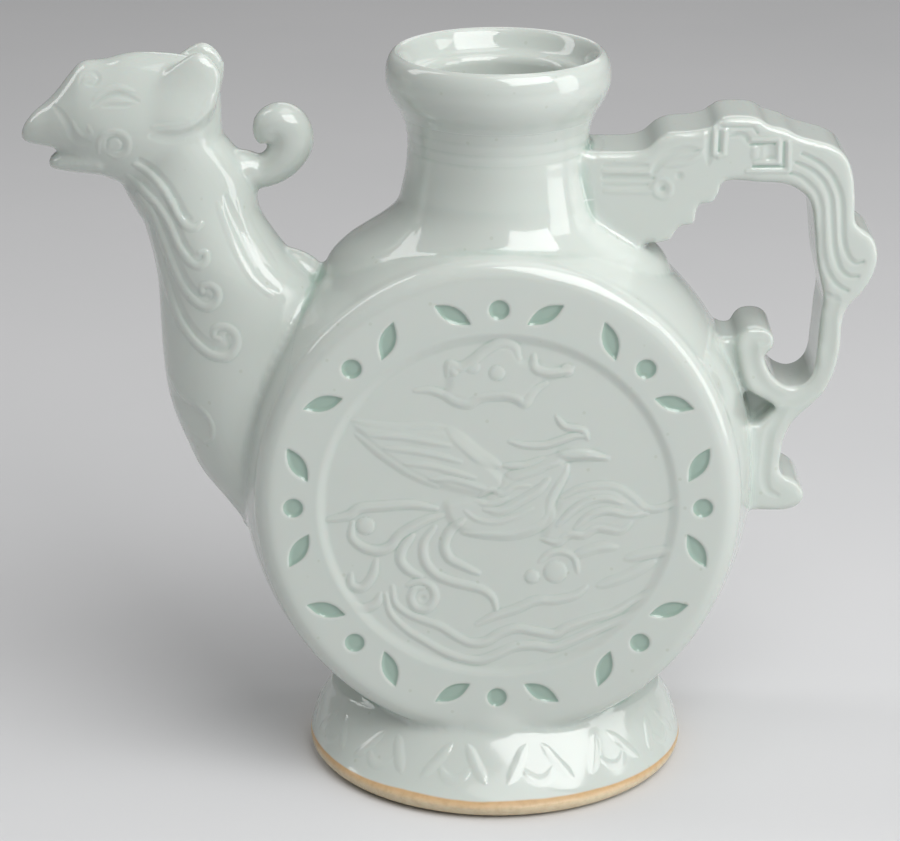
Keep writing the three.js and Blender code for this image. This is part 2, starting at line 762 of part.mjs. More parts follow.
const scrollLeftShares = [
  [0.684, 0.27], [0.64, 0.3], [0.6, 0.334], [0.57, 0.38], [0.545, 0.414], [0.49, 0.424], [0.49, 0.446],
  [0.535, 0.458], [0.56, 0.476],
  [0.59, 0.487], [0.625, 0.489], [0.66, 0.48], [0.686, 0.458], [0.684, 0.44], [0.66, 0.42], [0.62, 0.41],
  [0.63, 0.382], [0.656, 0.348], [0.696, 0.326], [0.745, 0.318], [0.789, 0.334], [0.816, 0.368], [0.825, 0.427],
];
const tailOuterShares = [
  [0.773, 0.257], [0.737, 0.226], [0.717, 0.19], [0.709, 0.157], [0.705, 0.126], [0.706, 0.104], [0.717, 0.092],
  [0.744, 0.084], [0.77, 0.07], [0.79, 0.05], [0.792, 0.032], [0.764, 0.009], [0.714, 0], [0.632, 0.002],
];
const tailInnerShares = [
  [0.58, 0.01], [0.5, 0.3],
];

// Hollow between the scroll, the tail and the flask, on both faces of the web that closes it
const hollowShares = [
  [0.5, 0.31], [0.676, 0.31], [0.676, 0.272], [0.632, 0.228], [0.5, 0.228],
];

function handlePoint([across, up]) {
  const x = handleRootReach + (kneeReach - handleRootReach) * across;
  const z = handleFootHeight + (handleTopHeight - handleFootHeight) * up;
  return new THREE.Vector2(x, z);
}

function handleOutline(...tables) {
  return new THREE.Shape(tables.flat().map(handlePoint));
}

// Half-round grooves on both faces of the strap, from the fret round the bend to the knee
const ribShares = [
  [
    [0.68, 0.94], [0.73, 0.933], [0.79, 0.919], [0.837, 0.895], [0.864, 0.853],
    [0.879, 0.793], [0.89, 0.729], [0.915, 0.694], [0.975, 0.678],
  ],
  [
    [0.68, 0.918], [0.726, 0.912], [0.782, 0.898], [0.82, 0.87], [0.841, 0.828],
    [0.853, 0.765], [0.868, 0.704], [0.901, 0.658], [0.972, 0.637],
  ],
  [
    [0.68, 0.897], [0.723, 0.891], [0.764, 0.881], [0.798, 0.853], [0.814, 0.811],
    [0.827, 0.747], [0.842, 0.687], [0.872, 0.64], [0.94, 0.606],
  ],
];

function ribGrooves() {
  let cuts = null;
  for (const table of ribShares) {
    const path = table.map((share) => handlePoint(share).toArray());
    for (const side of [-1, 1]) {
      const groove = taperedTube(path, table.map(() => grooveRadius), 10, 6, side * handleHalfDepth);
      cuts = cuts ? cuts.add(groove) : groove;
    }
  }
  return cuts;
}

// Key-fret lines: each a run of straight bars, square in section
const fretShares = [
  [[0.482, 0.91], [0.482, 0.975], [0.575, 0.975]],
  [[0.578, 0.95], [0.669, 0.95], [0.669, 0.9], [0.58, 0.9]],
  [[0.607, 0.921], [0.645, 0.921]],
  [[0.51, 0.885], [0.69, 0.885], [0.69, 0.93]],
];

function fretGrooves() {
  let cuts = null;
  for (const table of fretShares) {
    for (let i = 0; i + 1 < table.length; i += 1) {
      const [a, b] = [handlePoint(table[i]), handlePoint(table[i + 1])];
      for (const side of [-1, 1]) {
        const low = new THREE.Vector3(Math.min(a.x, b.x), side * handleHalfDepth, Math.min(a.y, b.y));
        const high = new THREE.Vector3(Math.max(a.x, b.x), side * handleHalfDepth, Math.max(a.y, b.y));
        const pad = new THREE.Vector3(fretWidth / 2, grooveRadius, fretWidth / 2);
        const bar = block(low.sub(pad), high.add(pad));
        cuts = cuts ? cuts.add(bar) : bar;
      }
    }
  }
  return cuts;
}

// Whatever the handle and the bird are luted to, grown by the seam
const clearNeck = revolve([
  [0, neckFootHeight - overrun],
  [neckFootRadius + seam, neckFootHeight - overrun],
  [neckFootRadius + seam, neckFootHeight],
  [(neckFootRadius + neckTopRadius) / 2 + seam, (neckFootHeight + collarFootHeight) / 2],
  [neckTopRadius + seam, collarFootHeight],
  [0, collarFootHeight],
], roundSegments);

const clearBody = clearFlask.add(shoulderSolid(2 * seam)).add(clearNeck);
const clearBirdNeck = birdNeckSolid(2 * seam);
const clearHead = headSolid(2 * seam);

function band(lowX, highX, lowZ, highZ) {
  return block(
    new THREE.Vector3(lowX, -flaskHalfDepth - overrun, lowZ),
    new THREE.Vector3(highX, flaskHalfDepth + overrun, highZ),
  );
}

const farX = kneeReach + overrun;
const bracketOutline = handleOutline(bracketTopShares, [[0.445, 0.978], [0.478, 0.98]], bracketCombShares);
const strapOutline = handleOutline(strapOuterShares, strapInnerShares);
const scrollOutline = handleOutline([[0.9, 0.51]], scrollOuterShares, scrollLeftShares, [[0.827, 0.51]]);
const tailOutline = handleOutline([[0.84, 0.305]], tailOuterShares, tailInnerShares);
const hollowOutline = handleOutline(hollowShares);

const bracket = plate(bracketOutline, handleHalfDepth, combEdgeRound)
  .intersect(band(0, handleBracketEnd - seam, 0, handleTopHeight + overrun))
  .subtract(clearBody);
const strap = plate(strapOutline, handleHalfDepth, handleEdgeRound)
  .intersect(band(handleBracketEnd, farX, strapFootHeight, handleTopHeight + overrun))
  .subtract(ribGrooves())
  .subtract(fretGrooves());
const scroll = plate(scrollOutline, handleHalfDepth, handleEdgeRound)
  .intersect(band(0, farX, tailTopHeight + seam, strapFootHeight - seam))
  .subtract(clearBody);
const hollow = plate(hollowOutline, handleHalfDepth + overrun, 0)
  .subtract(plate(hollowOutline, webHalfDepth, 0));
const tail = plate(tailOutline, handleHalfDepth, handleEdgeRound)
  .intersect(band(0, farX, 0, tailTopHeight))
  .subtract(hollow)
  .subtract(clearBody);

const spout = birdNeck.subtract(clearBody).subtract(channel);
const crownHeight = birdNeckTopHeight + headHeight;
const headTop = band(-beakReach - overrun, 0, birdNeckTopHeight + seam, crownHeight + overrun);
const lowerBeakOuter = lowerBeakSolid();
const lowerBeakRoot = -lowerBeakReach + lowerBeakLength;
const lowerBeakTop = lowerBeakBase + lowerBeakHeight;
const lowerBeakBlock = band(-lowerBeakReach - overrun, lowerBeakRoot, 0, lowerBeakTop);
const head = headSolid()
  .intersect(headTop)
  .subtract(channel)
  .subtract(lowerBeakBlock);
const lowerBeak = lowerBeakOuter.subtract(channel).intersect(lowerBeakBlock);
const solids = {
  front_shell: shell(-1, front),
  back_shell: shell(1, back),
  front_medallion: medallion(-1),
  back_medallion: medallion(1),
  neck: neckSolid(),
  mouth_rim: mouthRimSolid(),
  foot_ring: footOutside().subtract(clearFlask).subtract(footHollow()),
  spout_front_half: spout.intersect(front),
  spout_back_half: spout.intersect(back),
  bird_head: head,
  lower_beak: lowerBeak,
  near_ear: earSolid(-1).subtract(clearHead),
  far_ear: earSolid(1).subtract(clearHead),
  crest_plume: plumeSolid().subtract(clearHead).subtract(clearBirdNeck),
  nape_curl: napeSolid().subtract(clearBirdNeck).subtract(clearBody),
  handle_bracket: bracket,
  handle_strap: strap,
  handle_scroll: scroll,
  handle_tail: tail,
};

const ewer = new THREE.Group();
ewer.position.x = (beakReach - kneeReach) / 2;
for (const [name, solid] of Object.entries(solids)) {
  const colour = name === 'foot_ring' ? footColour : glazeColour;
  const material = new THREE.MeshStandardMaterial({ color: colour, roughness: glazeRoughness, metalness: 0 });
  const mesh = new THREE.Mesh(toGeometry(solid), material);
  mesh.name = name;
  ewer.add(mesh);
}

export default ewer;
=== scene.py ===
"""Celadon moon-flask ewer with a bird-headed spout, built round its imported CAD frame.

The thrown and moulded parts are shaped with Blender's own operators in metres, with the
neck's axis at x = 0, grown together under one skin as glaze joins luted clay, carved,
and parted again along the joints into the pieces of the frame.
"""
import logging
import math
from dataclasses import dataclass, field
from enum import Enum
from typing import Sequence

import bpy
import numpy as np
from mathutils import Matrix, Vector


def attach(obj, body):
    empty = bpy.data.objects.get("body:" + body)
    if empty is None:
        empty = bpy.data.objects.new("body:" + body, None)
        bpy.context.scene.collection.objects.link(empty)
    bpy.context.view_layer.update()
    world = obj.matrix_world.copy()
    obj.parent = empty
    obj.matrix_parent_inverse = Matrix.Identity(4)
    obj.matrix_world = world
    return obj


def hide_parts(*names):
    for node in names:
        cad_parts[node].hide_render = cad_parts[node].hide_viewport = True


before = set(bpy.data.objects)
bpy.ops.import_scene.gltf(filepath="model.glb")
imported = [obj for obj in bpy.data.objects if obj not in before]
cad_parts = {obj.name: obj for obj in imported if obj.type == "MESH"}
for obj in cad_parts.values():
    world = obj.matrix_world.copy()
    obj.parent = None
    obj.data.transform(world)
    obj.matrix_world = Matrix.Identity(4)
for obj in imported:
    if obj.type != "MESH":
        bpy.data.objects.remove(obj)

LOG = logging.getLogger("ewer")
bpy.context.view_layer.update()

MM = 0.001
NECK_AXIS = 12.85 * MM
BODY = "root"
WELD = 0.01 * MM
TALLER = 1.015
CREASE = math.radians(42)
SPECK = 0x9DA58C

Row = Sequence[float]
Path = Sequence[Row]


class Side(Enum):
    """Which side of the ewer's middle plane a form is on."""

    FRONT = -1
    BACK = 1


# Bench work


def deselect() -> None:
    """Leaves edit mode and selects nothing."""
    if bpy.context.object and bpy.context.object.mode != "OBJECT":
        bpy.ops.object.mode_set(mode="OBJECT")
    bpy.ops.object.select_all(action="DESELECT")


def hold(*objects: bpy.types.Object) -> bpy.types.Object:
    """Selects these objects alone and makes the first one active.

    Args:
        objects: What the next operators work on.

    Returns:
        The active object.
    """
    deselect()
    for obj in objects:
        obj.select_set(True)
    bpy.context.view_layer.objects.active = objects[0]
    return objects[0]


def modify(obj: bpy.types.Object, kind: str, **settings: object) -> None:
    """Adds one modifier and applies it at once.

    Args:
        obj: The object to change.
        kind: The modifier's type.
        settings: The modifier's properties.
    """
    hold(obj)
    modifier = obj.modifiers.new(kind.lower(), kind)
    for name, value in settings.items():
        setattr(modifier, name, value)
    bpy.ops.object.modifier_apply(modifier=modifier.name)


def combine(obj: bpy.types.Object, other: bpy.types.Object, operation: str, spent: bool = True) -> None:
    """Joins, cuts or crosses one closed solid with another.

    Args:
        obj: The solid that changes.
        other: The solid that it is combined with.
        operation: UNION, DIFFERENCE or INTERSECT.
        spent: Whether the other solid is thrown away afterwards.
    """
    modify(obj, "BOOLEAN", operation=operation, object=other, solver="MANIFOLD")
    if spent:
        discard(other)


def discard(*objects: bpy.types.Object) -> None:
    """Removes objects and their meshes."""
    for obj in objects:
        mesh = obj.data
        bpy.data.objects.remove(obj)
        bpy.data.meshes.remove(mesh)


def twin(obj: bpy.types.Object, name: str) -> bpy.types.Object:
    """Copies an object together with its mesh.

    Args:
        obj: The object to copy.
        name: The copy's name.

    Returns:
        The copy.
    """
    copy = obj.copy()
    copy.data = obj.data.copy()
    copy.name = copy.data.name = name
    bpy.context.scene.collection.objects.link(copy)
    return copy


def points_of(obj: bpy.types.Object) -> np.ndarray:
    """Reads a mesh's points.

    Args:
        obj: The object.

    Returns:
        Rows of x, y, z in metres.
    """
    points = np.empty(len(obj.data.vertices) * 3)
    obj.data.vertices.foreach_get("co", points)
    return points.reshape(-1, 3)


def normals_of(obj: bpy.types.Object) -> np.ndarray:
    """Reads a mesh's normals.

    Args:
        obj: The object.

    Returns:
        A unit row of x, y, z for each point.
    """
    normals = np.empty(len(obj.data.vertices) * 3)
    obj.data.vertices.foreach_get("normal", normals)
    return normals.reshape(-1, 3)


def move_points(obj: bpy.types.Object, points: np.ndarray) -> None:
    """Moves a mesh's points to new places."""
    obj.data.vertices.foreach_set("co", np.ascontiguousarray(points, np.float32).ravel())
    obj.data.update()


def smooth_line(points: Path, per_span: int = 6) -> np.ndarray:
    """Runs a Catmull-Rom curve through points.

    Args:
        points: Rows of any width.
        per_span: How many steps each span gets.

    Returns:
        The rows of the curve, ends included.
    """
    rows = np.asarray(points, float)
    padded = np.vstack([2 * rows[0] - rows[1], rows, 2 * rows[-1] - rows[-2]])
    steps = np.linspace(0, 1, per_span, endpoint=False)[:, None]
    out = []
    for i in range(len(rows) - 1):
        a, b, c, d = padded[i:i + 4]
        out.append(0.5 * (2 * b + (c - a) * steps + (2 * a - 5 * b + 4 * c - d) * steps**2
                          + (3 * b - a - 3 * c + d) * steps**3))
    return np.vstack([*out, rows[-1:]])


def close_up(obj: bpy.types.Object) -> None:
    """Merges doubled points and turns every face outwards.

    Args:
        obj: The object.
    """
    hold(obj)
    bpy.ops.object.mode_set(mode="EDIT")
    bpy.ops.mesh.select_all(action="SELECT")
    bpy.ops.mesh.remove_doubles(threshold=WELD)
    bpy.ops.mesh.normals_make_consistent(inside=False)
    bpy.ops.object.mode_set(mode="OBJECT")


def outline_face(name: str, points: np.ndarray, fill: str) -> bpy.types.Object:
    """Lays a ring of points out as a wire or as one face.

    Args:
        name: The object's name.
        points: Rows of x, y, z in metres.
        fill: NGON for a face, NOTHING for a wire.

    Returns:
        The object.
    """
    deselect()
    bpy.ops.mesh.primitive_circle_add(vertices=len(points), radius=1, fill_type=fill)
    obj = bpy.context.object
    obj.name = obj.data.name = name
    move_points(obj, points)
    return obj


def turned(name: str, profile: Path, axis: str = "Z", steps: int = 160) -> bpy.types.Object:
    """Spins a closed profile round an axis, as on a wheel.

    Args:
        name: The object's name.
        profile: Rows of radius and height in millimetres, closed end to start.
        axis: Z for an upright wheel, Y for the lying flask.
        steps: How many steps the turn takes.

    Returns:
        The closed solid.
    """
    rows = np.asarray(profile, float) * MM
    zero = np.zeros(len(rows))
    flat = np.c_[rows[:, 0], zero, rows[:, 1]] if axis == "Z" else np.c_[rows[:, 0], rows[:, 1], zero]
    obj = outline_face(name, flat, "NOTHING")
    hold(obj)
    bpy.ops.object.mode_set(mode="EDIT")
    bpy.ops.mesh.select_all(action="SELECT")
    bpy.ops.mesh.spin(steps=steps, angle=math.tau, center=(0, 0, 0),
                      axis=(0, 0, 1) if axis == "Z" else (0, 1, 0))
    bpy.ops.object.mode_set(mode="OBJECT")
    close_up(obj)
    return obj


def lofted(name: str, centres: np.ndarray, halves: np.ndarray, sides: int = 96) -> bpy.types.Object:
    """Draws an oval along a row of stations by extruding and resizing it.

    Args:
        name: The object's name.
        centres: The stations' centres in metres.
        halves: The stations' half sizes in metres, 0 along the run.
        sides: How many corners the oval has.

    Returns:
        The closed solid.
    """
    along_x = halves[0][0] == 0
    deselect()
    bpy.ops.mesh.primitive_circle_add(
        vertices=sides, radius=1, fill_type="NGON", location=centres[0],
        rotation=(0, math.pi / 2, 0) if along_x else (0, 0, 0))
    obj = bpy.context.object
    obj.name = obj.data.name = name
    bpy.ops.object.transform_apply(location=True, rotation=True, scale=True)
    bpy.ops.object.mode_set(mode="EDIT")
    bpy.ops.mesh.select_all(action="SELECT")
    sizes = np.where(halves > 0, halves, 1)
    bpy.ops.transform.resize(value=sizes[0], center_override=centres[0])
    for i in range(1, len(centres)):
        bpy.ops.mesh.extrude_region_move(TRANSFORM_OT_translate={"value": centres[i] - centres[i - 1]})
        bpy.ops.transform.resize(value=sizes[i] / sizes[i - 1], center_override=centres[i])
    bpy.ops.object.mode_set(mode="OBJECT")
    close_up(obj)
    return obj


def risen(name: str, stations: Path, sides: int = 96) -> bpy.types.Object:
    """Lofts level ovals between a left and a right side.

    Args:
        name: The object's name.
        stations: Rows of height, left, right and half depth in millimetres.
        sides: How many corners each oval has.

    Returns:
        The closed solid.
    """
    rows = smooth_line(stations, 5) * MM
    middle = (rows[:, 1] + rows[:, 2]) / 2
    zero = np.zeros(len(rows))
    centres = np.c_[middle, zero, rows[:, 0]]
    return lofted(name, centres, np.c_[(rows[:, 2] - rows[:, 1]) / 2, rows[:, 3], zero], sides)


def rolled(name: str, path: Path, radii: Row, steps: int = 10) -> bpy.types.Object:
    """Rolls a round coil of clay along a path.

    Args:
        name: The object's name.
        path: Rows of x, y, z in millimetres.
        radii: The coil's radius at each row, in millimetres.
        steps: Steps between two rows.

    Returns:
        The closed solid.
    """
    rows = smooth_line(np.c_[np.asarray(path, float), np.asarray(radii, float)], steps) * MM
    deselect()
    bpy.ops.curve.primitive_nurbs_path_add()
    obj = bpy.context.object
    obj.name = obj.data.name = name
    curve = obj.data
    curve.splines.clear()
    spline = curve.splines.new("POLY")
    spline.points.add(len(rows) - 1)
    for point, (x, y, z, radius) in zip(spline.points, rows):
        point.co = (x, y, z, 1)
        point.radius = radius
    curve.bevel_depth = 1
    curve.bevel_resolution = 8
    curve.use_fill_caps = True
    bpy.ops.object.convert(target="MESH")
    obj = bpy.context.object
    close_up(obj)
    return obj


def coiled(name: str, rows: Path) -> bpy.types.Object:
    """Rolls a coil on the ewer's middle plane, from rows of x, z and radius in millimetres."""
    return rolled(name, [(x, 0, z) for x, z, _ in rows], [radius for _, _, radius in rows])


def slab(name: str, outline: np.ndarray, low: float, high: float) -> bpy.types.Object:
    """Extrudes an outline in the XZ plane along Y.

    Args:
        name: The object's name.
        outline: Rows of x and z in millimetres.
        low: Where the slab starts on Y, in millimetres.
        high: Where it ends.

    Returns:
        The closed solid.
    """
    rows = np.asarray(outline, float) * MM
    obj = outline_face(name, np.c_[rows[:, 0], np.full(len(rows), low * MM), rows[:, 1]], "NGON")
    hold(obj)
    bpy.ops.object.mode_set(mode="EDIT")
    bpy.ops.mesh.select_all(action="SELECT")
    bpy.ops.mesh.extrude_region_move(TRANSFORM_OT_translate={"value": (0, (high - low) * MM, 0)})
    bpy.ops.object.mode_set(mode="OBJECT")
    close_up(obj)
    return obj


def block(low: Row, high: Row) -> bpy.types.Object:
    """Makes a block to cut with.

    Args:
        low: Its lowest corner in millimetres.
        high: Its highest corner.

    Returns:
        The closed solid.
    """
    low, high = np.asarray(low, float) * MM, np.asarray(high, float) * MM
    deselect()
    bpy.ops.mesh.primitive_cube_add(size=1, location=(low + high) / 2, scale=high - low)
    obj = bpy.context.object
    obj.name = obj.data.name = "knife"
    bpy.ops.object.transform_apply(location=True, rotation=True, scale=True)
    return obj


def cutter(side: Path, deep: float) -> bpy.types.Object:
    """Makes an outline to cut with, which reaches equally far on both sides of the middle plane."""
    return slab("knife", side, -deep, deep)


# Carving


def near(points: np.ndarray, path: np.ndarray, reach: float) -> np.ndarray:
    """Finds the points within a path's box, grown by a reach."""
    low, high = path.min(0) - reach, path.max(0) + reach
    return np.flatnonzero(((points >= low) & (points <= high)).all(1))


def along(points: np.ndarray, path: np.ndarray) -> tuple[np.ndarray, np.ndarray]:
    """Measures points against a path.

    Args:
        points: Rows of x, y, z.
        path: The path's corners.

    Returns:
        Each point's distance from the path, and the share of the path's length nearest to it.
    """
    best = np.full(len(points), np.inf)
    where = np.zeros(len(points))
    lengths = np.linalg.norm(np.diff(path, axis=0), axis=1)
    total, done = lengths.sum(), 0.0
    for start, end, length in zip(path[:-1], path[1:], lengths):
        run = end - start
        share = np.clip((points - start) @ run / max(run @ run, 1e-18), 0, 1)
        gap = np.linalg.norm(points - start - share[:, None] * run, axis=1)
        closer = gap < best
        best = np.where(closer, gap, best)
        where = np.where(closer, (done + share * length) / total, where)
        done += length
    return best, where


def eased(share: np.ndarray) -> np.ndarray:
    """Turns a share from 0 to 1 into a soft step."""
    share = np.clip(share, 0, 1)
    return share * share * (3 - 2 * share)


def span(values: np.ndarray, low: float, high: float, low_edge: float, high_edge: float) -> np.ndarray:
    """Gives 1 between two bounds and 0 beyond them, with a soft edge inside each."""
    return eased((values - low) / low_edge) * eased((high - values) / high_edge)


def between(values: np.ndarray, bounds: Row) -> np.ndarray:
    """Tells which values lie between two bounds."""
    return (values > bounds[0]) & (values < bounds[1])


def within(places: np.ndarray, outline: np.ndarray) -> np.ndarray:
    """Tells which places lie inside a closed outline.

    Args:
        places: Rows of x and z.
        outline: The outline's corners.

    Returns:
        Whether each place is inside.
    """
    inside = np.zeros(len(places), bool)
    for (ax, az), (bx, bz) in zip(outline, np.roll(outline, -1, 0)):
        if az == bz:
            continue
        spans = (az > places[:, 1]) != (bz > places[:, 1])
        inside ^= spans & (places[:, 0] < ax + (places[:, 1] - az) * (bx - ax) / (bz - az))
    return inside


@dataclass(frozen=True)
class Stroke:
    """One stroke of a modelling tool on a side that faces forwards.

    Args:
        path: Rows of x and z in millimetres.
        width: Full width in millimetres.
        rise: Height in millimetres, below 0 where the stroke is cut in.
        taper: How far its ends thin out, from 0 to 1.
        bend: Steps of the curve between two rows, 1 for straight runs.
    """

    path: Path
    width: float
    rise: float
    taper: float = 0.5
    bend: int = 4


def strokes(width: float, rise: float, *paths: Path, taper: float = 0.5, bend: int = 4) -> tuple[Stroke, ...]:
    """Makes strokes of one width and rise."""
    return tuple(Stroke(path, width, rise, taper, bend) for path in paths)


@dataclass(frozen=True)
class Relief:
    """Strokes, soft-edged patches and round buttons on a side that faces forwards.

    Args:
        strokes: The strokes.
        patches: Rises in millimetres with their outlines' rows of x and z.
        buttons: Rows of x, z, radius and rise in millimetres.
        edge: How wide a patch's soft edge is.
        tall: What every rise is multiplied by.
        broad: What every stroke's width is multiplied by.
        round: The power that rounds a stroke's back.
        blunt: The power that keeps a stroke's width up to its ends.
    """

    strokes: tuple[Stroke, ...]
    patches: tuple[tuple[float, Path], ...] = ()
    buttons: Path = ()
    edge: float = 2.6
    tall: float = 0.6
    broad: float = 1.25
    round: float = 1.3
    blunt: int = 4

    def rise_at(self, x: np.ndarray, z: np.ndarray) -> np.ndarray:
        """Gives how far the surface rises.

        Args:
            x: The places' x in millimetres.
            z: Their z.

        Returns:
            Each place's rise in millimetres.
        """
        places = np.c_[x, z]
        lift, raised, cut = (np.zeros(len(x)) for _ in range(3))
        for height, outline in self.patches:
            rows = smooth_line([*outline, outline[0]], 3)
            chosen = near(places, rows, 0)
            gap, _ = along(places[chosen], rows)
            soft = eased(gap / self.edge) * within(places[chosen], rows)
            lift[chosen] = np.maximum(lift[chosen], height * soft)
        for stroke in self.strokes:
            path = smooth_line(stroke.path, stroke.bend)
            half = stroke.width * self.broad / 2
            chosen = near(places, path, half)
            gap, share = along(places[chosen], path)
            ends = 1 - stroke.taper * np.abs(2 * share - 1) ** self.blunt
            inside = np.clip(1 - (gap / (half * ends)) ** 2, 0, 1) ** self.round
            target = raised if stroke.rise > 0 else cut
            target[chosen] = np.maximum(target[chosen], abs(stroke.rise) * inside * ends)
        for cx, cz, radius, height in self.buttons:
            inside = np.clip(1 - ((x - cx) ** 2 + (z - cz) ** 2) / radius**2, 0, 1)
            raised = np.maximum(raised, max(height, 0) * np.sqrt(inside))
            cut = np.maximum(cut, max(-height, 0) * inside)
        return (lift + raised - cut) * self.tall


# Forms in clay


@dataclass(frozen=True)
class Flask:
    """The flat round flask, its ring of cuts, its shoulder and its neck, in millimetres."""

    half_width: float = 70.9
    half_height: float = 74.9
    half_depth: float = 35.45
    centre: float = 84.6
    crown: float = 7.4
    edge: float = 5.5
    wall: float = 4.5
    panel: float = 49.8
    bore: float = 20.6
    neck_girth: float = 26.1
    neck_root: float = 150
    neck_top: float = 187.5
    neck_skin: Row = (20, 28.5)
    neck_low: float = 163.6
    above: float = 215
    line_half: float = 0.9
    neck_side: Path = (
        (26.1, 163.6), (25.4, 166.5), (24.8, 170), (24.5, 173.5), (24.4, 177.4), (24.75, 180.5),
        (25.3, 183), (26, 184.75))
    turned_lines: Path = ((175.6, 0.1), (178.6, 0.08), (181.6, 0.06))
    shoulder: Path = (
        (132, 47.4, 34.5), (138.6, 47.4, 34.5), (144.1, 46.1, 34.2), (148.6, 41.9, 32.8), (151.6, 37.4, 31.0),
        (154.6, 32.7, 29.3), (157.9, 28.7, 27.8), (161.1, 26.7, 26.6), (163.6, 26.1, 26.1),
    )

    def drum(self, inset: float = 0, steps: int = 224) -> bpy.types.Object:
        """Turns the flask's body, or with an inset its hollow, and draws it slightly taller.

        Args:
            inset: How far inside the outer surface it is.
            steps: How many steps the turn takes.

        Returns:
            The closed solid.
        """
        depth, widest = self.half_depth - inset, self.half_width - inset
        edge = max(self.edge - inset / 2, 0.5)
        start = depth - edge
        rim = widest - self.crown * (start / self.half_depth) ** 2
        rows = [(0, -depth)]
        for turn in np.linspace(0, math.pi / 2, 9):
            rows.append((rim - edge * (1 - math.sin(turn)), -start - edge * math.cos(turn)))
        for y in np.linspace(-start, start, 25)[1:-1]:
            rows.append((widest - self.crown * (y / self.half_depth) ** 2, y))
        for turn in np.linspace(math.pi / 2, 0, 9):
            rows.append((rim - edge * (1 - math.sin(turn)), start + edge * math.cos(turn)))
        rows.append((0, depth))
        obj = turned("flask", rows, "Y", steps)
        obj.scale = (1, 1, self.half_height / self.half_width)
        obj.location = (0, 0, self.centre * MM)
        hold(obj)
        bpy.ops.object.transform_apply(location=True, rotation=True, scale=True)
        return obj

    def neck(self) -> bpy.types.Object:
        """Turns the neck from inside the shoulder up into the mouth."""
        return turned("neck", [(0, self.neck_root), (self.neck_girth, self.neck_root),
                               *smooth_line(self.neck_side, 4),
                               (self.neck_side[-1][0], self.neck_top), (0, self.neck_top)])

    def clay(self) -> list[bpy.types.Object]:
        """Makes the flask, its shoulder and its neck."""
        stations = [(height, -wide, wide, deep) for height, wide, deep in self.shoulder]
        return [self.drum(), risen("shoulder", stations, 160), self.neck()]

    def hollow(self) -> bpy.types.Object:
        """Makes what the flask, its shoulder and its neck are hollowed with.

        Returns:
            The closed solid.
        """
        hollow = self.drum(self.wall, 64)
        bore = turned("bore", [(0, self.centre), (self.bore, self.centre), (self.bore, self.above),
                               (0, self.above)], steps=96)
        combine(hollow, bore, "UNION")
        return hollow

    def turned_depth(self, points: np.ndarray) -> np.ndarray:
        """Gives the depth of the fine lines turned round the neck.

        Args:
            points: Rows of x, y, z in millimetres.

        Returns:
            Each point's depth in millimetres.
        """
        radius = np.hypot(points[:, 0], points[:, 1])
        depth = np.zeros(len(points))
        for height, deep in self.turned_lines:
            depth += deep * np.clip(1 - ((points[:, 2] - height) / self.line_half) ** 2, 0, 1)
        inner, outer = self.neck_skin
        return np.where((radius > inner) & (radius < outer), depth, 0)


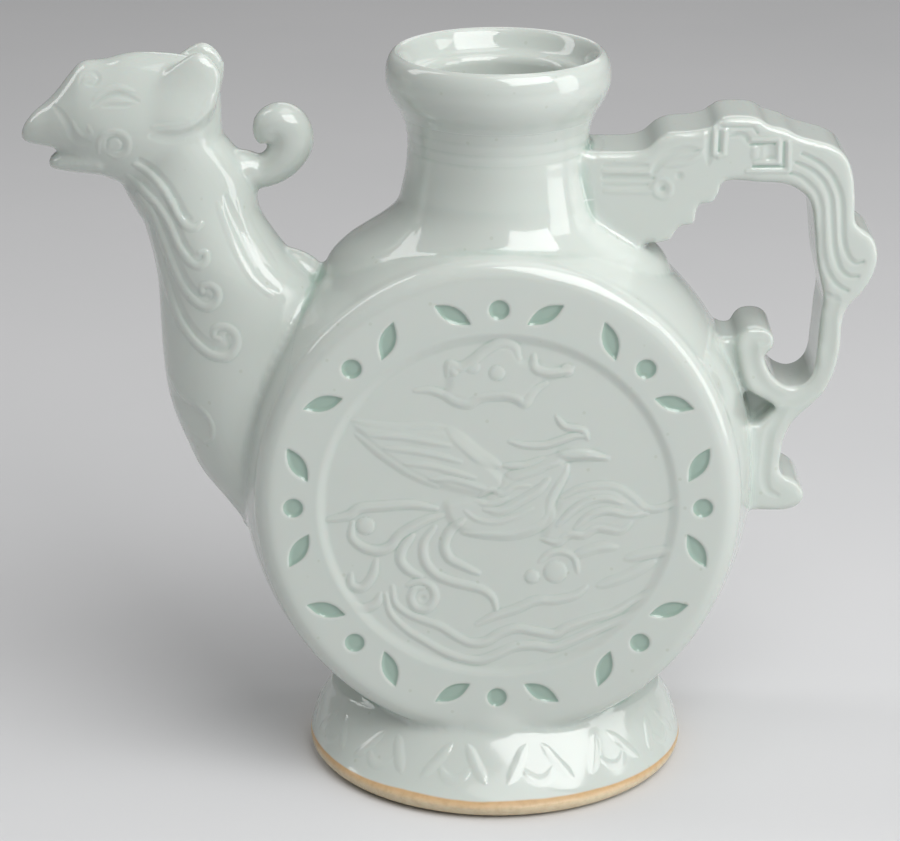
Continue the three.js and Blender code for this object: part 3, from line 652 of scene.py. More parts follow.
@dataclass(frozen=True)
class Bird:
    """The bird's neck and head, which pour, with its ears, plume and nape, in millimetres."""

    neck_rows: Path = (
        (0, 0.7, 0.605, 0.3), (0.04, 0.712, 0.59, 0.5), (0.113, 0.758, 0.57, 0.74),
        (0.195, 0.817, 0.54, 0.91), (0.278, 0.853, 0.51, 0.98), (0.36, 0.883, 0.49, 1),
        (0.443, 0.9, 0.47, 1), (0.546, 0.908, 0.45, 0.97), (0.649, 0.911, 0.45, 0.91),
        (0.732, 0.914, 0.48, 0.85), (0.804, 0.924, 0.555, 0.8), (0.866, 0.938, 0.6, 0.74),
        (0.928, 0.958, 0.634, 0.69), (1, 1, 0.645, 0.64))
    head_rows: Path = (
        (0, 0.345, 0.4, 0.09), (0.024, 0.32, 0.473, 0.2), (0.069, 0.303, 0.551, 0.3),
        (0.128, 0.289, 0.622, 0.4), (0.178, 0.275, 0.695, 0.5), (0.265, 0.2, 0.854, 0.66),
        (0.319, 0.13, 0.924, 0.76), (0.424, 0.06, 0.94, 0.9), (0.548, 0, 0.986, 0.98), (0.683, 0, 0.989, 1),
        (0.794, 0, 0.975, 0.95), (0.906, 0, 0.93, 0.78), (0.97, 0.12, 0.83, 0.5), (1, 0.36, 0.7, 0.22))
    neck_low: float = 66.7
    neck_rise: float = 97.9
    neck_reach: float = 101.1
    neck_deep: float = 22.4
    beak: float = -127.8
    head_long: float = 53.9
    head_tall: float = 36.8
    head_wide: float = 13.4
    head_low: float = 164.6
    brow: float = 182
    brow_tall: float = 18
    brow_lean: float = 0.3
    throat_rows: Path = (
        (-8, -97.0, -64.2, 14.6), (0, -100.9, -65.3, 14.3), (6, -100.9, -67.4, 13.4),
        (14.7, -97.0, -74.2, 12.596))
    ear_rows: Path = (
        (-88, 7.6, 176.5, 1.6, 1.2), (-87, 8.6, 179.5, 5.8, 3.6), (-86, 8.8, 184, 9.2, 4.7),
        (-85, 7.8, 188.5, 10.6, 4.3), (-83.4, 6.8, 192.5, 10.2, 3.7), (-81.2, 6.4, 196.2, 8, 3.0),
        (-80, 6.3, 199, 5.6, 2.4), (-79.4, 6.2, 201, 3.2, 1.8), (-79.2, 6.2, 202.2, 1.2, 0.8))
    plume_rows: Path = (
        (-73.5, 168.5, 6.2), (-68, 168.6, 5.6), (-64, 168.2, 4.6), (-60.8, 169.3, 4.8), (-57.6, 172, 5.4),
        (-55.1, 176.4, 5.8), (-56, 180.4, 5.8), (-58.2, 181.6, 5.8), (-60.2, 180.9, 5.5),
        (-60.7, 179.3, 5.1), (-60, 177.6, 4.4))
    jaw_rows: Path = (
        (-120.7, 2.0, 1.0, 170.8), (-119.7, 3.8, 1.8, 171.1), (-117.7, 5.3, 2.7, 171.6),
        (-114.6, 6.7, 3.7, 172.1), (-111, 8.1, 4.6, 172.7), (-106, 9.6, 5.8, 173.4))
    channel_rows: Path = (
        (-124, 173.5, 1.9), (-114, 173.7, 2.0), (-104, 173.2, 3.4), (-92, 168, 6.5), (-82, 154, 8.5),
        (-76, 136, 9), (-68, 116, 9), (-54, 98, 8))
    nape_rows: Path = ((-60.5, 145.2, 2.9), (-56, 142.1, 4.7), (-52, 139.1, 5.1), (-49, 135.8, 3.6))

    def neck(self) -> bpy.types.Object:
        """Lofts the bird's neck from inside the flask to the head.

        Returns:
            The closed solid.
        """
        rows = [(self.neck_low + self.neck_rise * up, -self.neck_reach * left, -self.neck_reach * right,
                 self.neck_deep * deep) for up, left, right, deep in self.neck_rows]
        return risen("bird_neck", rows, 120)

    def head(self) -> list[bpy.types.Object]:
        """Lofts the head from the beak's tip back, and the throat under it.

        Returns:
            The two closed solids.
        """
        rows = smooth_line(self.head_rows, 5)
        tall = (rows[:, 2] - rows[:, 1]) / 2 * self.head_tall
        centres = np.c_[self.beak + self.head_long * rows[:, 0], 0 * tall,
                        self.head_low + (rows[:, 1] + rows[:, 2]) / 2 * self.head_tall] * MM
        head = lofted("head", centres, np.c_[0 * tall, rows[:, 3] * self.head_wide, tall] * MM, 96)
        points = points_of(head)
        points[:, 1] *= 1 - self.brow_lean * np.clip((points[:, 2] / MM - self.brow) / self.brow_tall, 0, 1)
        move_points(head, points)
        throat = risen("throat", [(self.head_low + up, left, right, deep)
                                  for up, left, right, deep in self.throat_rows])
        return [head, throat]

    def ear(self, side: Side) -> bpy.types.Object:
        """Lofts one ear-like crest feather, a broad lobe along the side of the head.

        Args:
            side: Which side of the head it is on.

        Returns:
            The closed solid.
        """
        rows = [(x, side.value * out, z, long, thick) for x, out, z, long, thick in self.ear_rows]
        curve = smooth_line(rows, 5) * MM
        return lofted(f"{side.name.lower()}_ear", curve[:, :3], np.c_[curve[:, 3:5], 0 * curve[:, 0]], 48)

    def plume(self) -> bpy.types.Object:
        """Rolls the plume that curls at the nape."""
        return coiled("plume", self.plume_rows)

    def jaw(self) -> bpy.types.Object:
        """Lofts the lower beak under the pouring hole.

        Returns:
            The closed solid.
        """
        rows = smooth_line(self.jaw_rows, 5)
        zero = 0 * rows[:, 0]
        halves = np.c_[zero, rows[:, 1], rows[:, 2]]
        return lofted("jaw", np.c_[rows[:, 0], zero, rows[:, 3]] * MM, halves * MM, 64)

    def channel(self) -> bpy.types.Object:
        """Rolls the channel that pours from the flask through the neck to the beak."""
        return coiled("channel", self.channel_rows)

    def nape(self) -> bpy.types.Object:
        """Rolls the lobe where the nape meets the shoulder."""
        return coiled("nape", self.nape_rows)

    def clay(self) -> list[bpy.types.Object]:
        """Makes all of the bird."""
        ears = [self.ear(side) for side in Side]
        return [self.neck(), *self.head(), self.jaw(), *ears, self.plume(), self.nape()]


@dataclass(frozen=True)
class Handle:
    """The strap handle: comb bracket, fret panel, ribs, knee, scroll and tail.

    Outlines are shares of the reach from the root to the knee and of the height from the tail to the top.
    """

    root: float = 20.0
    reach: float = 82.1
    foot: float = 74.05
    rise: float = 111.5
    half_depth: float = 11.35
    web: float = 3.5
    skim: float = 0.5
    slip: float = 8.8
    clear: float = 20
    bracket_top: Path = (
        (0, 0.916), (0.18, 0.915), (0.238, 0.925), (0.274, 0.95), (0.31, 0.963), (0.368, 0.966),
        (0.411, 0.97), (0.445, 0.978), (0.478, 0.98))
    bracket_comb: Path = (
        (0.478, 0.83), (0.462, 0.803), (0.44, 0.79), (0.41, 0.789), (0.4, 0.765), (0.392, 0.739),
        (0.36, 0.737), (0.34, 0.728), (0.325, 0.708), (0.301, 0.696), (0.162, 0.692), (0.078, 0.76),
        (0, 0.79))
    strap_outer: Path = (
        (0.44, 0.972), (0.46, 0.99), (0.48, 1), (0.53, 1.003), (0.59, 1), (0.612, 0.99), (0.634, 0.98),
        (0.683, 0.972), (0.727, 0.955), (0.79, 0.942), (0.836, 0.932), (0.875, 0.912), (0.903, 0.875),
        (0.916, 0.82), (0.917, 0.77), (0.92, 0.742), (0.935, 0.729), (0.96, 0.717), (0.983, 0.702),
        (0.996, 0.682), (1, 0.658), (0.997, 0.63), (0.982, 0.598), (0.955, 0.566), (0.93, 0.545),
        (0.906, 0.525), (0.894, 0.49), (0.89, 0.46))
    strap_inner: Path = (
        (0.818, 0.46), (0.822, 0.5), (0.8285, 0.541), (0.824, 0.57), (0.802, 0.64), (0.79, 0.72),
        (0.776, 0.785), (0.75, 0.812), (0.71, 0.832), (0.665, 0.84), (0.592, 0.842), (0.488, 0.846),
        (0.474, 0.822), (0.445, 0.798))
    scroll_outer: Path = ((0.893, 0.53), (0.892, 0.456), (0.889, 0.41), (0.877, 0.366), (0.858, 0.33),
                          (0.83, 0.298), (0.773, 0.257))
    scroll_left: Path = (
        (0.682, 0.262), (0.648, 0.28), (0.615, 0.298), (0.589, 0.321), (0.574, 0.346), (0.562, 0.382),
        (0.552, 0.415), (0.548, 0.44), (0.552, 0.456), (0.568, 0.469), (0.591, 0.476), (0.616, 0.478),
        (0.642, 0.473), (0.664, 0.461), (0.675, 0.446), (0.673, 0.43), (0.66, 0.417), (0.643, 0.411),
        (0.642, 0.4), (0.649, 0.378), (0.664, 0.357), (0.686, 0.339), (0.715, 0.326), (0.742, 0.323),
        (0.774, 0.33), (0.797, 0.348), (0.81, 0.375), (0.815, 0.42), (0.818, 0.46), (0.822, 0.5),
        (0.8285, 0.541))
    tail_outer: Path = (
        (0.84, 0.305), (0.773, 0.257), (0.737, 0.226), (0.717, 0.19), (0.709, 0.157), (0.705, 0.126),
        (0.706, 0.104), (0.717, 0.092), (0.744, 0.084), (0.77, 0.07), (0.79, 0.05), (0.792, 0.032),
        (0.764, 0.009), (0.714, 0), (0.632, 0.002))
    tail_inner: Path = ((0.58, 0.01), (0.5, 0.3))
    backing: Path = ((0.46, 0.45), (0.56, 0.44), (0.6, 0.38), (0.64, 0.306), (0.5, 0.306))
    hollow: Path = ((0.5, 0.308), (0.602, 0.308), (0.69, 0.272), (0.628, 0.226), (0.5, 0.226))

    def outline(self, *runs: Path, bend: int = 5) -> np.ndarray:
        """Joins smoothed runs of an outline, in millimetres of x and z."""
        rows = np.vstack([smooth_line(run, bend) for run in runs])
        return np.c_[self.root + self.reach * rows[:, 0], self.foot + self.rise * rows[:, 1]]

    def clay(self) -> list[bpy.types.Object]:
        """Makes the handle's four lengths, and the clay that backs the scroll, all overlapping.

        Returns:
            The closed solids.
        """
        deep = self.half_depth
        bracket = slab("bracket", self.outline(self.bracket_top, self.bracket_comb), -deep, deep)
        strap = slab("strap", self.outline(self.strap_outer, self.strap_inner), -deep, deep)
        scroll = slab("scroll", self.outline(self.scroll_outer, self.scroll_left), -deep, deep)
        tail = slab("tail", self.outline(self.tail_outer, self.tail_inner), -deep, deep)
        opening = self.outline(self.hollow, bend=1)
        for low, high in ((-self.clear, -self.web), (self.web, self.clear)):
            for part in (tail, scroll):
                combine(part, slab("pit", opening, low, high), "DIFFERENCE")
        backing = slab("backing", self.outline(self.backing, bend=1), -self.slip, self.slip)
        web = slab("web", opening, -self.web - self.skim, self.web + self.skim)
        return [bracket, strap, scroll, tail, backing, web]


@dataclass(frozen=True)
class Foot:
    """The flared foot: round where it stands, oval where it takes the flask, in millimetres."""

    stand: float = 48.1
    widest: float = 52.9
    band: float = 4.0
    lip: float = 19.0
    lip_wide: float = 46.7
    lip_deep: float = 35.8
    bulge: float = 0.42
    petals: int = 14
    girth: float = 46.0
    fillet_out: float = 27.2
    fillet_up: float = 20.2
    fillet_curve: float = 260
    flank: float = 0.8
    shelf: Row = (0.9, 0.7, 0.5)
    core: Row = (9, 14.4, 9)
    leg: Row = (2.5, 0.42)
    swag: Row = (2.0, 0.24)
    petal_taper: float = 0.6
    petal_wide: float = 49.5
    petal_deep: float = 42
    fillet_rows: Path = ((-24, 4.5), (-16, 7.6), (-8, 8.8), (0, 9.2), (8, 8.8), (16, 7.6), (24, 4.5))
    hollow_rows: Path = ((-8, 43.6, 43.6), (0, 43.6, 43.6), (6.2, 41.6, 38.6), (12.4, 39, 33))

    def outside(self) -> bpy.types.Object:
        """Lofts the foot's outside, and a core that reaches into the flask.

        Returns:
            The closed solid.
        """
        rows = [(0, self.stand, self.stand)]
        for share in np.linspace(0.15, 1, 6):
            radius = self.widest - (self.widest - self.stand) * (1 - math.sqrt(1 - (1 - share) ** 2))
            rows.append((self.band * share, radius, radius))
        for share in np.linspace(0, 1, 12)[1:]:
            ease = share + self.bulge * share * (share - 1)
            rows.append((self.band + (self.lip - self.band) * share,
                         self.widest + (self.lip_wide - self.widest) * ease,
                         self.widest + (self.lip_deep - self.widest) * share ** self.flank))
        rows += [(self.lip + up, self.lip_wide - narrower, self.lip_deep - thinner)
                 for up, narrower, thinner in (self.shelf, self.core)]
        return risen("foot", [(height, -wide, wide, deep) for height, wide, deep in rows], 160)

    def fillet(self, side: Side) -> bpy.types.Object:
        """Rolls the slip that fills the crease where the flask's face runs into the foot.

        Args:
            side: Which face of the flask it is on.

        Returns:
            The closed solid.
        """
        y = side.value * self.fillet_out
        path = [(x, y * (1 - abs(x) / self.fillet_curve), self.fillet_up) for x, _ in self.fillet_rows]
        return rolled("fillet", path, [radius for _, radius in self.fillet_rows])

    def hollow(self) -> bpy.types.Object:
        """Lofts the hollow under the foot."""
        rows = [(height, -wide, wide, deep) for height, wide, deep in self.hollow_rows]
        return risen("foot_hollow", rows, 96)

    def petal_relief(self) -> Relief:
        """Draws the ring of petals, unrolled into arc length and height.

        Returns:
            The petals' strokes.
        """
        pitch = math.tau * self.girth / self.petals
        legs, swags = [], []
        for i in range(self.petals + 2):
            middle = (i - self.petals / 2 - 0.5) * pitch
            legs += [[(middle + arc, height) for arc, height in leg] for leg in PETAL]
            swags.append([(middle + arc, height) for arc, height in PETAL_SWAG])
        legs = strokes(*self.leg, *legs, taper=self.petal_taper)
        return Relief(legs + strokes(*self.swag, *swags, taper=self.petal_taper))

    def rise_at(self, points: np.ndarray) -> np.ndarray:
        """Gives how far the petals rise at points given in millimetres."""
        turn = np.arctan2(points[:, 0] / self.petal_wide, -points[:, 1] / self.petal_deep)
        return self.petal_relief().rise_at(turn * self.girth, points[:, 2])


@dataclass(frozen=True)
class Mouth:
    """The rolled collar round the mouth, with a dished ledge inside its lip, in millimetres."""

    foot: float = 184.75
    bore: float = 20.6
    outside: Path = (
        (26.0, 184.75), (26.9, 186.5), (28.2, 188.5), (29.3, 190.8), (30.0, 193.2), (30.15, 195.6),
        (29.95, 197.7), (29.4, 199.5), (28.6, 200.8), (27.6, 201.5))
    ledge: Path = ((27.6, 201.5), (26.7, 201.2), (25.8, 200.0), (24.9, 198.2), (24.0, 196.6), (23.0, 195.7),
                   (22.0, 195.3), (21.2, 194.6), (20.7, 193.4), (20.6, 191.6))

    def collar(self) -> bpy.types.Object:
        """Turns the collar from its outside, its ledge and its bore.

        Returns:
            The closed solid.
        """
        outside, ledge = smooth_line(self.outside, 5), smooth_line(self.ledge, 5)
        rows = np.vstack([outside, ledge[1:], [(self.bore, self.foot)]])
        return turned("mouth_rim", rows, steps=240)


# Relief and cuts


@dataclass(frozen=True)
class RingCuts:
    """The ring of round cuts, each between two leaf-shaped ones, in millimetres."""

    radius: float = 54.9
    depth: float = 0.7
    dot: float = 3.15
    leaf_long: float = 5.9
    leaf_wide: float = 2.6
    dot_slope: float = 0.45
    leaf_slope: float = 1.4
    leaf_angle: float = math.radians(12.8)
    splay: float = math.radians(42)
    count: int = 8

    def depth_at(self, x: np.ndarray, z: np.ndarray) -> np.ndarray:
        """Gives the cuts' depth at places on the face.

        Args:
            x: The places' x from the panel's centre, in millimetres.
            z: Their z.

        Returns:
            Each place's depth in millimetres.
        """
        depth = np.zeros(len(x))
        for i in range(self.count):
            middle = math.tau * i / self.count
            for turn in (-1, 0, 1):
                angle = middle + turn * self.leaf_angle
                cx, cz = self.radius * math.cos(angle), self.radius * TALLER * math.sin(angle)
                if turn == 0:
                    inside = 1 - np.hypot(x - cx, z - cz) / self.dot
                    depth = np.maximum(depth, np.clip(inside / self.dot_slope, 0, 1))
                    continue
                lean = angle + math.pi / 2 - turn * self.splay
                run = (x - cx) * math.cos(lean) + (z - cz) * math.sin(lean)
                off = np.abs(-(x - cx) * math.sin(lean) + (z - cz) * math.cos(lean))
                wide = self.leaf_wide * np.clip(1 - (run / self.leaf_long) ** 2, 0, 1)
                depth = np.maximum(depth, np.clip((wide - off) / self.leaf_slope, 0, 1))
        return self.depth * depth * depth * (3 - 2 * depth)


# Finishes


class Join:
    """Wires shader nodes together in a material or a group."""

    def __init__(self, tree: bpy.types.NodeTree) -> None:
        """Keeps the tree that nodes are added to."""
        self.tree = tree

    def node(self, kind: str, settings: dict | None = None, **inputs: object) -> bpy.types.Node:
        """Adds a node.

        Args:
            kind: The node's type without its Shader prefix.
            settings: Its properties.
            inputs: Its sockets by name with _ for spaces: sockets are linked, other values are set.

        Returns:
            The node.
        """
        node = self.tree.nodes.new("ShaderNode" + kind)
        for name, value in (settings or {}).items():
            setattr(node, name, value)
        for name, value in inputs.items():
            key = int(name[1:]) if name[0] == "i" and name[1:].isdigit() else name.replace("_", " ")
            if isinstance(value, bpy.types.NodeSocket):
                self.tree.links.new(value, node.inputs[key])
            else:
                node.inputs[key].default_value = value
        return node

    def maths(self, operation: str, a: object, b: object = 0.0, clamp: bool = False) -> bpy.types.NodeSocket:
        """Adds a Math node and returns its result."""
        return self.node("Math", {"operation": operation, "use_clamp": clamp}, i0=a, i1=b).outputs[0]

    def remap(self, value: object, low: float, high: float, to_low: float = 0,
              to_high: float = 1) -> bpy.types.NodeSocket:
        """Maps a range onto another, smoothly and clamped.

        Args:
            value: The socket to map.
            low: Where the range starts.
            high: Where it ends.
            to_low: What its start becomes.
            to_high: What its end becomes.

        Returns:
            The mapped socket.
        """
        node = self.node("MapRange", {"interpolation_type": "SMOOTHSTEP"}, i0=value, i1=low, i2=high,
                         i3=to_low, i4=to_high)
        return node.outputs[0]

    def blend(self, factor: object, a: object, b: object) -> bpy.types.NodeSocket:
        """Mixes two colours."""
        node = self.node("Mix", {"data_type": "RGBA"}, i0=factor, i6=a, i7=b)
        return node.outputs[2]


def group(name: str, inputs: dict[str, tuple[str, object]],
          outputs: dict[str, str]) -> tuple[Join, object, object]:
    """Starts a shader node group.

    Args:
        name: The group's name.
        inputs: Socket kinds and default values by name.
        outputs: Socket kinds by name.

    Returns:
        The group's wiring, its input node and its output node.
    """
    tree = bpy.data.node_groups.new(name, "ShaderNodeTree")
    for name, (kind, default) in inputs.items():
        socket = tree.interface.new_socket(name, in_out="INPUT", socket_type="NodeSocket" + kind)
        socket.default_value = default
    for name, kind in outputs.items():
        tree.interface.new_socket(name, in_out="OUTPUT", socket_type="NodeSocket" + kind)
    return Join(tree), tree.nodes.new("NodeGroupInput"), tree.nodes.new("NodeGroupOutput")


Colour = tuple[float, float, float, float]


def tint(code: int) -> Colour:
    """Turns a screen colour such as 0xbdd2c5 into Blender's linear colour."""
    parts = [((code >> shift) & 255) / 255 for shift in (16, 8, 0)]
    return (*[part / 12.92 if part <= 0.04045 else ((part + 0.055) / 1.055) ** 2.4 for part in parts], 1.0)


def glaze_tone_group() -> bpy.types.NodeTree:
    """Celadon's colour: dark where it pools, pale where it runs thin over an edge, faintly clouded.

    Returns:
        The group.
    """
    join, feed, out = group(
        "celadon tone",
        {"Pool": ("Float", 0.0), "Thin": ("Color", tint(0xE4ECE2)), "Body": ("Color", tint(0xBDD2C5)),
         "Deep": ("Color", tint(0x8FA899)), "Clouding": ("Float", 0.5)},
        {"Color": "Color"})
    place = join.node("TexCoord").outputs["Object"]
    cloud = join.node("TexNoise", Vector=place, Scale=26.0, Detail=3.0, Roughness=0.55).outputs[0]
    fine = join.node("TexNoise", Vector=place, Scale=210.0, Detail=2.0).outputs[0]
    drift = join.maths("MULTIPLY", join.maths("SUBTRACT", cloud, 0.5), feed.outputs["Clouding"])
    grain = join.maths("MULTIPLY", join.maths("SUBTRACT", fine, 0.5), 0.25)
    pool = join.maths("ADD", join.maths("ADD", feed.outputs["Pool"], drift), grain)
    deep = join.blend(join.remap(pool, 0.05, 1.0), feed.outputs["Body"], feed.outputs["Deep"])
    thin = join.blend(join.remap(pool, -0.2, -1.4), deep, feed.outputs["Thin"])
    speck = join.node("TexVoronoi", {"feature": "F1"}, Vector=place, Scale=150.0).outputs["Distance"]
    dots = join.remap(speck, 0.1, 0.05, 0, 0.22)
    join.tree.links.new(join.blend(dots, thin, tint(SPECK)), out.inputs["Color"])
    return join.tree


def glaze_skin_group() -> bpy.types.NodeTree:
    """The glaze's surface: a soft orange peel, pinholes, and a roughness that drifts.

    Returns:
        The group.
    """
    join, feed, out = group(
        "glaze skin", {"Smoothest": ("Float", 0.06), "Dullest": ("Float", 0.16)},
        {"Roughness": "Float", "Height": "Float"})
    place = join.node("TexCoord").outputs["Object"]
    peel = join.node("TexNoise", Vector=place, Scale=340.0, Detail=1.0).outputs[0]
    swell = join.node("TexNoise", Vector=place, Scale=55.0, Detail=1.0).outputs[0]
    pin = join.node("TexVoronoi", {"feature": "F1"}, Vector=place, Scale=260.0).outputs["Distance"]
    pits = join.remap(pin, 0.0, 0.09, -0.5, 0)
    height = join.maths("ADD", join.maths("ADD", join.maths("MULTIPLY", peel, 0.3), swell), pits)
    spread = join.maths("SUBTRACT", feed.outputs["Dullest"], feed.outputs["Smoothest"])
    drift = join.remap(swell, 0.3, 0.75)
    rough = join.maths("ADD", feed.outputs["Smoothest"], join.maths("MULTIPLY", spread, drift))
    join.tree.links.new(rough, out.inputs["Roughness"])
    join.tree.links.new(height, out.inputs["Height"])
    return join.tree


@dataclass(frozen=True)
class Celadon:
    """Celadon glaze over a white body."""

    name: str = "celadon_glaze"
    thin: int = 0xE0E5E0
    body: int = 0xC5CCC6
    deep: int = 0x9AB0A4
    clouding: float = 0.35

    def material(self, tone: bpy.types.NodeTree, skin: bpy.types.NodeTree) -> bpy.types.Material:
        """Wires the glaze.

        Args:
            tone: The group that gives its colour.
            skin: The group that gives its surface.

        Returns:
            The material.
        """
        material = bpy.data.materials.new(self.name)
        material.use_nodes = True
        material.node_tree.nodes.clear()
        join = Join(material.node_tree)
        join.node("OutputMaterial", Surface=self.shader(join, tone, skin).outputs["BSDF"])
        return material

    def shader(self, join: Join, tone: bpy.types.NodeTree, skin: bpy.types.NodeTree) -> bpy.types.Node:
        """Adds the glaze's shader with its colour, roughness and bump.

        Args:
            join: The material's wiring.
            tone: The group that gives its colour.
            skin: The group that gives its surface.

        Returns:
            The shader.
        """
        pool = join.node("Attribute", {"attribute_name": "pool"}).outputs["Fac"]
        tones = join.node("Group", {"node_tree": tone}, Pool=pool, Thin=tint(self.thin),
                          Body=tint(self.body), Deep=tint(self.deep), Clouding=self.clouding)
        surface = join.node("Group", {"node_tree": skin})
        bump = join.node("Bump", Strength=0.25, Distance=0.0001, Height=surface.outputs["Height"])
        return join.node(
            "BsdfPrincipled", Base_Color=tones.outputs["Color"], Roughness=surface.outputs["Roughness"],
            Normal=bump.outputs["Normal"], IOR=1.5, Coat_Weight=0.4, Coat_Roughness=0.03,
            Subsurface_Weight=0.08, Subsurface_Scale=0.003)


@dataclass(frozen=True)
class FootGlaze(Celadon):
    """Celadon that ends in a wavering line, with toasted bare clay below it."""

    name: str = "foot_glaze"
    line: float = 0.0052
    clay: int = 0xD6C7A8
    flush: int = 0xC49A66
    grit: int = 0x9C7A4E
    blur: float = 0.0002
    waver: float = 0.0022

    def shader(self, join: Join, tone: bpy.types.NodeTree, skin: bpy.types.NodeTree) -> bpy.types.Node:
        """Adds the glaze, and the clay where the glaze was wiped off above the stand.

        Args:
            join: The material's wiring.
            tone: The group that gives the glaze's colour.
            skin: The group that gives its surface.

        Returns:
            The shader.
        """
        glaze = super().shader(join, tone, skin)
        place = join.node("TexCoord").outputs["Object"]
        height = join.node("SeparateXYZ", Vector=place).outputs["Z"]
        waver = join.node("TexNoise", Vector=place, Scale=18.0, Detail=4.0).outputs[0]
        drift = join.maths("MULTIPLY", join.maths("SUBTRACT", waver, 0.5), self.waver)
        edge = join.maths("ADD", height, drift)
        bare = join.remap(edge, self.line + self.blur, self.line - self.blur)
        toast = join.remap(edge, self.line - self.waver, self.line)
        grit = join.node("TexNoise", Vector=place, Scale=420.0, Detail=6.0, Roughness=0.7).outputs[0]
        clay = join.blend(join.maths("MULTIPLY", toast, 0.8), tint(self.clay), tint(self.flush))
        clay = join.blend(join.remap(grit, 0.35, 0.8, 0, 0.35), clay, tint(self.grit))
        links = join.tree.links
        own = glaze.inputs["Base Color"].links[0].from_socket
        links.new(join.blend(bare, own, clay), glaze.inputs["Base Color"])
        rough = glaze.inputs["Roughness"].links[0].from_socket
        dull = join.maths("MULTIPLY", bare, 0.7)
        links.new(join.maths("MAXIMUM", rough, dull), glaze.inputs["Roughness"])
        return glaze


# The skin over it all


@dataclass(frozen=True)
class Panel:
    """The relief panel: a border round a sunk field with the phoenix, clouds and waves."""

    radius: float = 48.9
    ramp: float = 3.2
    sink: float = 0.75
    least: float = 0.02

    def depth_at(self, x: np.ndarray, z: np.ndarray) -> np.ndarray:
        """Gives the field's depth at places on the face, measured from the panel's centre."""
        inside = eased((self.radius - np.hypot(x, z / TALLER)) / self.ramp)
        return np.maximum(self.sink - PHOENIX.rise_at(x, z), self.least) * inside


